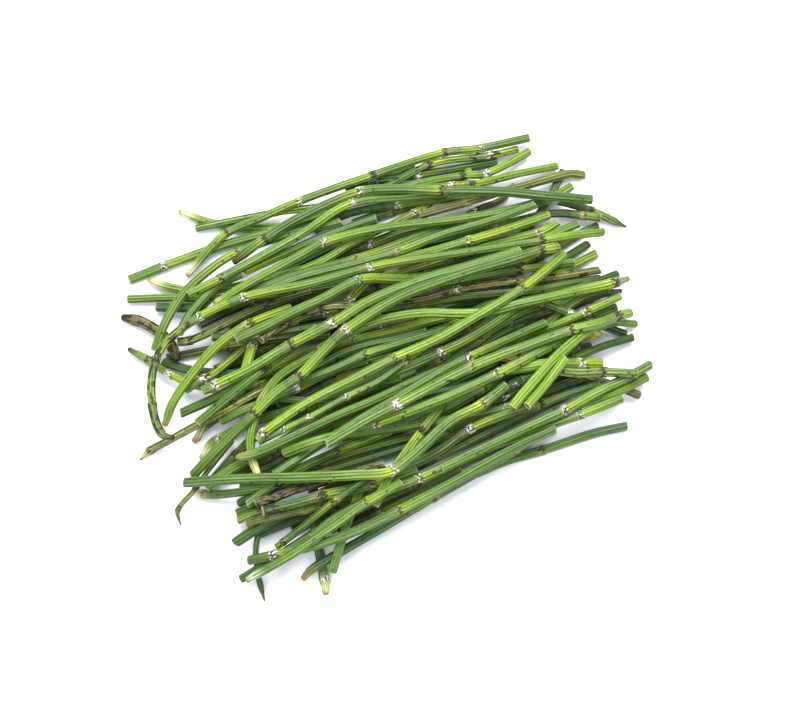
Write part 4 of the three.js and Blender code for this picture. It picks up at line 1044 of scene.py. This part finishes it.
def lined(n, fine):
    """The tone, mixed with itself times CREST_HIGHLIGHT plus CREST_HIGHLIGHT_ADD by the crest's share, and
    with itself times GROOVE_SHADE by the groove's."""
    ribbed = n.times(n.ribbed, n.ramp(n.field("patch"), *PATCH_RAMP))
    crest = n.times(n.ramp(n.wave, *CREST_WAVE), n.ramp(fine, *CREST_RAMP))
    deep = n.times(n.ramp(n.field("groove"), *GROOVE_RAMP), ribbed)
    groove = n.times(n.ramp(n.wave, *GROOVE_WAVE), deep)
    # the crest colour is a painted highlight, the groove colour painted shade
    painted_highlight = n.mix(1.0, n.mix(1.0, n.tone, CREST_HIGHLIGHT, "MULTIPLY"), CREST_HIGHLIGHT_ADD, "ADD")
    lit = n.mix(n.times(crest, ribbed), n.tone, painted_highlight)
    return n.mix(groove, lit, n.mix(1.0, n.tone, GROOVE_SHADE, "MULTIPLY"))


def streaked(n, colour, long, streak):
    """The colour times 1 - streak to 1 + streak along the stem, times its grain."""
    shade = n.ramp(long, *STREAK_RAMP, 1 - streak, 1 + streak)
    shade = n.times(shade, n.ramp(n.field("grain"), *GRAIN_RAMP))
    return n.mix(1.0, colour, n.at(shade, shade, shade), "MULTIPLY")


print("a crest is up to", CREST_HIGHLIGHT[0], "times as light as the skin")

# %% [markdown]
# ## Bruises
#
# Handling bruises a stem: dark ragged spots, more of them the more it is worn, thin dark lines
# down the grooves, and black specks. Spots and lines are fields cut off at a level, and the
# specks are the middles of a few cells of a cell pattern.

# %% Bruises, lines and specks
BRUISE = paint(28, 20, 16)
BRUISE_LEVEL = (0.77, 0.22)  # of an unworn stem, and how much lower when worn
BRUISE_EDGE = (0.0, 0.05)
LINE_RAMP = (0.62, 0.68)
LINE_WAVE = (0.0, -0.8)
LINE_SHARE = 0.85
SPECK_TURNS = (0.9, 0.33)  # cells to a rib and to a mm
SPECK_EDGE = (0.3, 0.2)
SPECK_RARE = (0.9, 0.93)  # of the cells' own numbers, those that hold a speck
HURT_SHARE = 0.92


def hurt_share(n):
    """How bruised the skin is: the largest of bruise, line and speck, none on a cut."""
    level = n.minus(BRUISE_LEVEL[0], n.times(n.worn, BRUISE_LEVEL[1]))
    bruise = n.ramp(n.minus(n.field("bruise"), level), *BRUISE_EDGE)
    line = n.times(n.ramp(n.field("line"), *LINE_RAMP), n.ramp(n.wave, *LINE_WAVE))
    hurt = n.larger(bruise, n.times(line, LINE_SHARE))
    cell = n.add("ShaderNodeTexVoronoi", {"Vector": n.spread(*SPECK_TURNS), "Scale": 1.0})
    rare = n.ramp(n.parts(cell.outputs["Color"])[0], *SPECK_RARE)
    speck = n.times(n.ramp(cell.outputs["Distance"], *SPECK_EDGE), rare)
    return n.times(n.larger(hurt, speck), n.times(n.skin, HURT_SHARE))


print("bruises darken the skin to", BRUISE.round(3))

# %% [markdown]
# ## Teeth
#
# A sheath ends in a crown of papery teeth. Most of it is torn: white flecks on some joints, a
# dark clump on others, and nearly always a thin dark line at the rim. The crown's own edge is
# ragged, so it is measured from the rim plus a random field.

# %% The torn crown of teeth
TOOTH_WHITE = paint(252, 248, 240)
TOOTH_PINK = paint(208, 190, 182)
TOOTH_DARK = paint(30, 18, 24)
RAGGED_REACH = 5.0  # mm between its highest and lowest
CROWN_EDGE = (3.0, 2.0)  # mm back from the rim
THIN_EDGE = (1.2, 0.5)  # mm, of the dark line
THIN_SHARE = 0.9
DARK_LEVEL = 0.38
CLUMP_RAISES = 0.26
PAPER_RAISES = 0.09
DARK_SHARE = 0.9
FLECK_LEVEL = 0.98
PAPER_LOWERS = 0.48
FLECK_SHARE = 0.95
TORN_EDGE = (-0.02, 0.03)
PAPER_RAMP = (0.4, 0.7)


def crown_shares(n):
    """Three shares of the skin: the crown, its dark parts (where the torn field is below
    DARK_LEVEL, or the thin line) and its flecks (where it is above FLECK_LEVEL less paper)."""
    paper = n.larger(n.joint, 0.0)
    clump = n.larger(n.times(n.joint, -1.0), 0.0)
    torn = n.field("torn")
    back = n.plus(n.before, n.times(n.minus(n.field("ragged"), 0.5), RAGGED_REACH))
    crown = n.ramp(back, *CROWN_EDGE)
    low = n.plus(n.times(clump, CLUMP_RAISES), DARK_LEVEL)
    low = n.plus(low, n.times(paper, PAPER_RAISES))
    dark = n.times(crown, n.ramp(n.minus(low, torn), *TORN_EDGE))
    thin = n.times(n.ramp(back, *THIN_EDGE), n.minus(THIN_SHARE, paper))
    dark = n.times(n.larger(dark, thin), DARK_SHARE)
    high = n.minus(FLECK_LEVEL, n.times(paper, PAPER_LOWERS))
    fleck = n.times(crown, n.ramp(n.minus(torn, high), *TORN_EDGE))
    return crown, dark, n.times(fleck, FLECK_SHARE)


print("the crown reaches", CROWN_EDGE[0], "mm back from the rim, give or take", RAGGED_REACH / 2)

# %% [markdown]
# ## The five finishes
#
# The layers go on one over the other, then the whole is painted a little darker, because the
# light is strong. Streaks and teeth are rougher, crests stand out and bruises are sunk a bit:
# that relief is too fine for the mesh. Each number that is the same all over is set on the
# shader's own socket.

# %% Skin materials
DIM = (0.645, 0.64, 0.78, 1)
ROUGHER = (-0.06, 0.08)  # what a streak takes from or adds to the roughness
CROWN_ROUGH = 0.7
SHINE = 0.28
FINE_RELIEF = 0.6
HURT_RELIEF = -0.8
RELIEF = {"Strength": 0.35, "Distance": 0.15 * MM}


def skin_material(name, streak, roughness):
    """The skin, with streaks of the given strength and the given roughness. Its relief is
    FINE_RELIEF times the crests' field plus HURT_RELIEF times the bruises."""
    n = SkinNodes(name)
    fine, long = n.field("crest"), n.field("streak")
    hurt = hurt_share(n)
    crown, dark, fleck = crown_shares(n)
    colour = streaked(n, lined(n, fine), long, streak)
    colour = n.mix(hurt, colour, rgba(BRUISE))
    colour = n.mix(dark, colour, rgba(TOOTH_DARK))
    papery = n.mix(n.ramp(n.field("paper"), *PAPER_RAMP), rgba(TOOTH_WHITE), rgba(TOOTH_PINK))
    colour = n.mix(fleck, colour, papery)
    n.put(n.shader.inputs["Base Color"], n.mix(1.0, colour, DIM, "MULTIPLY"))
    rough = n.ramp(long, *STREAK_RAMP, roughness + ROUGHER[0], roughness + ROUGHER[1])
    n.put(n.shader.inputs["Roughness"], n.larger(rough, n.times(crown, CROWN_ROUGH)))
    n.shader.inputs["Specular IOR Level"].default_value = SHINE
    relief = n.plus(n.times(fine, FINE_RELIEF), n.times(hurt, HURT_RELIEF))
    bump = n.add("ShaderNodeBump", {**RELIEF, "Height": relief})
    n.put(n.shader.inputs["Normal"], bump.outputs[0])
    return n.material


FINISHES = {
    "leaf": skin_material("horsetail green", 0.16, 0.42),
    "light": skin_material("fresh yellow green", 0.12, 0.38),
    "deep": skin_material("deep blue green", 0.18, 0.44),
    "olive": skin_material("olive of an old stem", 0.22, 0.5),
    "dry": skin_material("dried brown husk", 0.3, 0.62),
}
print("finishes:", ", ".join(material.name for material in FINISHES.values()))

# %% [markdown]
# ## From grids to faces
#
# Quads join each ring to the next, fans shut the two ends. The seam of the UV map runs along
# the underside, so a face there takes its last corner's U past the end instead of back to 0.


# %% Faces of one stem
def faces_of(count, across):
    """Quads (k,a) (k+1,a) (k+1,a+1) (k,a+1) over all rings and corners, wrapping round, then
    the two fans, as corner indices; and the ring and the unwrapped corner of each quad's."""
    k, a = np.meshgrid(np.arange(count - 1), np.arange(across), indexing="ij")
    k, a = k.ravel(), a.ravel()
    ring = np.stack([k, k + 1, k + 1, k], axis=1)
    step = np.stack([a, a, a + 1, a + 1], axis=1)
    quads = ring * across + step % across
    a = np.arange(across)
    first, last = count * across, count * across + 1
    head = np.stack([np.full(across, first), a, (a + 1) % across], axis=1)
    foot_row = (count - 1) * across
    foot = np.stack([np.full(across, last), foot_row + (a + 1) % across, foot_row + a], axis=1)
    return quads, ring, step, head, foot


print("3 rings of 5 corners:", [len(faces) for faces in faces_of(3, 5)], "faces and corners")

# %% [markdown]
# ## Teeth and wear of each stem
#
# Most joints show white teeth, a dark clump or plain ones, and a few stems are badly worn, on
# all their length or on a stretch. What isn't set here is left to chance, with a number
# generator that starts from the stem's own number, so the heap is the same every time.

# %% Joints and wear by stem
# one letter for each joint: w white teeth, d a dark clump, p plain
RING_KINDS = dict(entry.split() for entry in """a02 wp, a08 dw, a10 d, a11 wp, a14 wp, a32 w,
    a34 w, a36 w, a37 w, b01 wdw, b02 w, b04 dw, b05 wd, b09 w, b12 d, b30 w, b32 w, c01 dwddw,
    c02 p, c03 dw, c04 pw, c05 p, c07 w, c08 d, c09 ddwd, c10 w, c12 dp, c13 w, c15 pp, c17 w,
    c18 w, c20 w, c21 d, c22 dw, c23 dd, c24 ww, c25 w, c26 d, c27 dp, d01 dwd, d02 pdwwwd,
    d03 w, d04 pd, d05 wwww, d06 w, d07 ww, d09 wdw, d10 d, d11 wpp, d12 wp, e01 wpdd,
    e02 ddwd, e03 wp""".split(","))
CHANCE_KINDS = "wdppp"
WHITE_TEETH = (0.8, 1)  # how strong
DARK_CLUMP = (0.6, 1)
WORN = {"olive": 0.3, "dry": 0.45}
CHANCE_WEAR = 0.6
OWN_WORN = {
    "a09": 1.2, "a10": 0.9, "b01": 0.9, "b36": 0.9, "c09": 1.0, "c15": 0.8, "c21": 1.2,
    "c22": 1.5, "c26": 1.0, "d02": 1.15, "d10": 0.7, "e01": 0.6,
}
# mm; the wear of these stems is nearly all there
WORN_STRETCH = {"b01": (78, 170), "c22": (-20, 13), "d02": (-20, 72)}
WHOLE = (-99, 999)
WEAR_ELSEWHERE = 0.15
WEAR_FADE = 6  # mm to each side of a stretch's ends
RIB_SHOW = {"olive": 1.5, "dry": 1.4}  # how much stronger the painted highlight and shade of an old stem's ribs are
print(len(RING_KINDS), "stems with chosen joints,", len(OWN_WORN), "with chosen wear")

# %% [markdown]
# ## Everything a mesh needs of one stem
#
# Skin, colours, faces, map and attributes are worked out together, because they share one
# number generator and the count of ribs.

# %% One stem's arrays
FIRST_SEED = 1000
BEFORE_MOST = 12  # mm; further back from a rim than anything of it reaches
OWN_APART = 7.3  # between the own numbers of two stems, in turns of the fields


def worn_of(stem, s, draw):
    """How worn a stem is at the lengths s: all of its wear between the ends of its stretch,
    eased over WEAR_FADE to WEAR_ELSEWHERE of it outside."""
    worn = OWN_WORN.get(stem.name, CHANCE_WEAR * draw.random() ** 2 + WORN.get(stem.tone, 0))
    low, high = WORN_STRETCH.get(stem.name, WHOLE)
    here = ease(s, low - WEAR_FADE, low + WEAR_FADE)
    here = here * (1 - ease(s, high - WEAR_FADE, high + WEAR_FADE))
    return worn * (WEAR_ELSEWHERE + (1 - WEAR_ELSEWHERE) * here)


def parts_of(stem):
    """Corners, faces as runs of corner indices with their sizes, map coordinates for each
    face corner (ribs round it, mm along it), and the attributes of each corner."""
    draw = np.random.default_rng(FIRST_SEED + stem.number)
    skin = skin_of(stem, draw)
    colour = colours_of(stem, skin, draw)
    count, across = skin.phase.shape
    quads, ring, step, head, foot = faces_of(count, across)
    u = np.stack([np.arange(across) + 0.5, np.arange(across), np.arange(across) + 1], axis=1)
    s = skin.rings["s"]
    maps = [
        np.stack([step, s[ring]], axis=2),
        np.stack([u, np.full_like(u, s[0])], axis=2),
        np.stack([u[:, [0, 2, 1]], np.full_like(u, s[-1])], axis=2),
    ]
    letters = RING_KINDS.get(stem.name, "")
    letters += "".join(draw.choice(list(CHANCE_KINDS), skin.joints))
    amount = {"w": draw.uniform(*WHITE_TEETH), "d": -draw.uniform(*DARK_CLUMP), "p": 0.0}
    kinds = np.array([amount[letter] for letter in letters[: skin.joints]] + [0.0])
    marks = np.column_stack([
        np.minimum(skin.rings["before"], BEFORE_MOST),
        kinds[skin.rings["which"].astype(int)],
        skin.rings["ribbed"] * RIB_SHOW.get(stem.tone, 1),
    ])
    own = np.full(count, stem.number * OWN_APART)
    state = np.column_stack([worn_of(stem, s, draw), own, 1 - skin.rings["cut"]])

    def spread(rows):
        """A row for each ring, repeated round it, and one more for each pole."""
        return np.concatenate([np.repeat(rows, across, axis=0), rows[:1], rows[-1:]])

    return {
        "spots": np.concatenate([skin.corners.reshape(-1, 3), skin.poles]),
        "faces": np.concatenate([quads.ravel(), head.ravel(), foot.ravel()]),
        "sizes": np.repeat([4, 3], [len(quads), 2 * across]),
        "uv": np.concatenate([part.reshape(-1, 2) for part in maps]) * (skin.ribs / across, 1),
        "tone": np.concatenate([colour.reshape(-1, 3), colour[0, :1], colour[-1, :1]]),
        "marks": spread(marks),
        "state": spread(state),
    }


trial = parts_of(heap[-1])
print("one stem:", len(trial["spots"]), "corners,", len(trial["sizes"]), "faces")

# %% [markdown]
# ## One mesh for one piece
#
# Stems that the frame holds in one node become one piece with one mesh. The arrays of its
# stems are joined end to end and handed to Blender in one go with foreach_set, which is far
# quicker than adding corners one by one.

# %% One piece of one or more stems
CENTRE = np.array([-7.16, -3.43, 0.0])  # middle of the heap in the plan of the routes, mm


def piece_of(name, stems):
    """A mesh object at the origin, with the place of its stems in its mesh."""
    parts = [parts_of(stem) for stem in stems]
    offsets = np.cumsum([0] + [len(part["spots"]) for part in parts])
    faces = np.concatenate([part["faces"] + off for part, off in zip(parts, offsets)])
    whole = {
        key: np.concatenate([part[key] for part in parts])
        for key in ("spots", "sizes", "uv", "tone", "marks", "state")
    }
    spots = whole["spots"] - CENTRE
    spots[:, 2] = spots[:, 2].clip(min=0)
    mesh = bpy.data.meshes.new(name)
    mesh.vertices.add(len(spots))
    mesh.vertices.foreach_set("co", (spots * MM).astype(np.float32).ravel())
    mesh.loops.add(len(faces))
    mesh.loops.foreach_set("vertex_index", faces.astype(np.int32))
    mesh.polygons.add(len(whole["sizes"]))
    starts = np.concatenate([[0], np.cumsum(whole["sizes"])[:-1]])
    mesh.polygons.foreach_set("loop_start", starts.astype(np.int32))
    tones = sorted({stem.tone for stem in stems}, key=[stem.tone for stem in stems].index)
    for tone in tones:
        mesh.materials.append(FINISHES[tone])
    slots = [tones.index(stem.tone) for stem in stems]
    finish = np.repeat(slots, [len(part["sizes"]) for part in parts])
    mesh.update(calc_edges=True)
    mesh.polygons.foreach_set("material_index", finish.astype(np.int32))
    mesh.polygons.foreach_set("use_smooth", np.ones(len(finish), bool))
    mesh.uv_layers.new(name="along")
    mesh.uv_layers["along"].data.foreach_set("uv", whole["uv"].astype(np.float32).ravel())
    tone = mesh.attributes.new("tone", "FLOAT_COLOR", "POINT")
    opaque = np.column_stack([whole["tone"], np.ones(len(spots))])
    tone.data.foreach_set("color", opaque.astype(np.float32).ravel())
    for key in ("marks", "state"):
        attribute = mesh.attributes.new(key, "FLOAT_VECTOR", "POINT")
        attribute.data.foreach_set("vector", whole[key].astype(np.float32).ravel())
    mesh.validate()
    piece = bpy.data.objects.new(name, mesh)
    bpy.context.scene.collection.objects.link(piece)
    return piece


groups = {}
for stem in heap:
    groups.setdefault(stem.group, []).append(stem)
print(len(groups), "groups, the largest of", max(map(len, groups.values())), "stems")

# %% [markdown]
# ## The whole heap
#
# Each node of the frame gets its piece, which rides where the node rides and stands for it.

# %% Make all pieces
corner_count = 0
for group, stems in groups.items():
    piece = piece_of("horsetail_" + group, stems)
    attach(piece, "root")
    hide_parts("stem_" + group)
    corner_count += sum(len(face.vertices) - 2 for face in piece.data.polygons)
print(len(groups), "pieces,", corner_count, "triangles")

# %% [markdown]
# ## The table
#
# The heap lies on plain white, in light so soft and strong that the table turns to pure white and
# hardly a shadow shows round the heap. So much light would also shine out of the small gaps inside
# the heap, where a real heap is dark and green, so a painted shade darkens the table in an oval
# under its middle, where only those gaps let it be seen.

# %% Table with a shaded oval
TABLE_HALF = 3.0  # metres
TABLE_WHITE = (0.82, 0.83, 0.89, 1)
# painted shade: the table's colour in the oval under the middle of the heap
TABLE_SHADE = (0.07, 0.095, 0.05, 1)
TABLE_ROUGH = 0.7
SHADE_MIDDLE = (5 * MM, 5 * MM)
SHADE_HALF = (92 * MM, 56 * MM)
SHADE_EDGE = (1.1, 0.85)  # from outside in, over the oval's half widths

table_mesh = bpy.data.meshes.new("table")
table_mesh.from_pydata(
    [(x * TABLE_HALF, y * TABLE_HALF, 0) for x, y in ((-1, -1), (1, -1), (1, 1), (-1, 1))],
    [],
    [(0, 1, 2, 3)],
)
table = bpy.data.objects.new("table", table_mesh)
bpy.context.scene.collection.objects.link(table)
white = Nodes("plain white table")
oval = white.add("ShaderNodeMapping", {
    "Vector": white.add("ShaderNodeTexCoord").outputs["Object"],
    "Location": (-SHADE_MIDDLE[0] / SHADE_HALF[0], -SHADE_MIDDLE[1] / SHADE_HALF[1], 0),
    "Scale": (1 / SHADE_HALF[0], 1 / SHADE_HALF[1], 0),
})
out = white.add("ShaderNodeVectorMath", {0: oval.outputs[0]}, operation="LENGTH")
under = white.ramp(out.outputs["Value"], *SHADE_EDGE)
white.put(white.shader.inputs["Base Color"], white.mix(under, TABLE_WHITE, TABLE_SHADE))
white.shader.inputs["Roughness"].default_value = TABLE_ROUGH
table_mesh.materials.append(white.material)
print("table", [round(side, 2) for side in table.dimensions], "metres")

# %% [markdown]
# ## The light
#
# A wide lamp nearly overhead gives the ribs their highlights, a second one and a white sky
# fill the rest.


# %% Lamps and sky
def lamp(name, place, size, power):
    """A square area lamp at `place`, in metres, facing the heap: turned from straight down by
    the angle between its place and plumb, then about Z."""
    light = bpy.data.lights.new(name, "AREA")
    light.size = size
    light.energy = power
    thing = bpy.data.objects.new(name, light)
    thing.location = place
    x, y, z = place
    thing.rotation_euler = (math.atan2(math.hypot(x, y), z), 0, math.atan2(x, -y))
    bpy.context.scene.collection.objects.link(thing)
    return thing


lamps = [
    lamp("key", place=(0.1, 0.5, 1.35), size=1.0, power=42),
    lamp("fill", place=(-0.6, -0.9, 1.3), size=1.6, power=16),
]
world = bpy.data.worlds.new("white sky")
bpy.context.scene.world = world
world.use_nodes = True
sky = world.node_tree.nodes["Background"]
sky.inputs["Color"].default_value = (0.94, 0.97, 1.0, 1)
sky.inputs["Strength"].default_value = 1.0
bpy.context.scene.view_settings.view_transform = "Standard"
bpy.context.scene.view_settings.look = "None"
print("lamps:", [(thing.name, thing.data.energy) for thing in lamps])
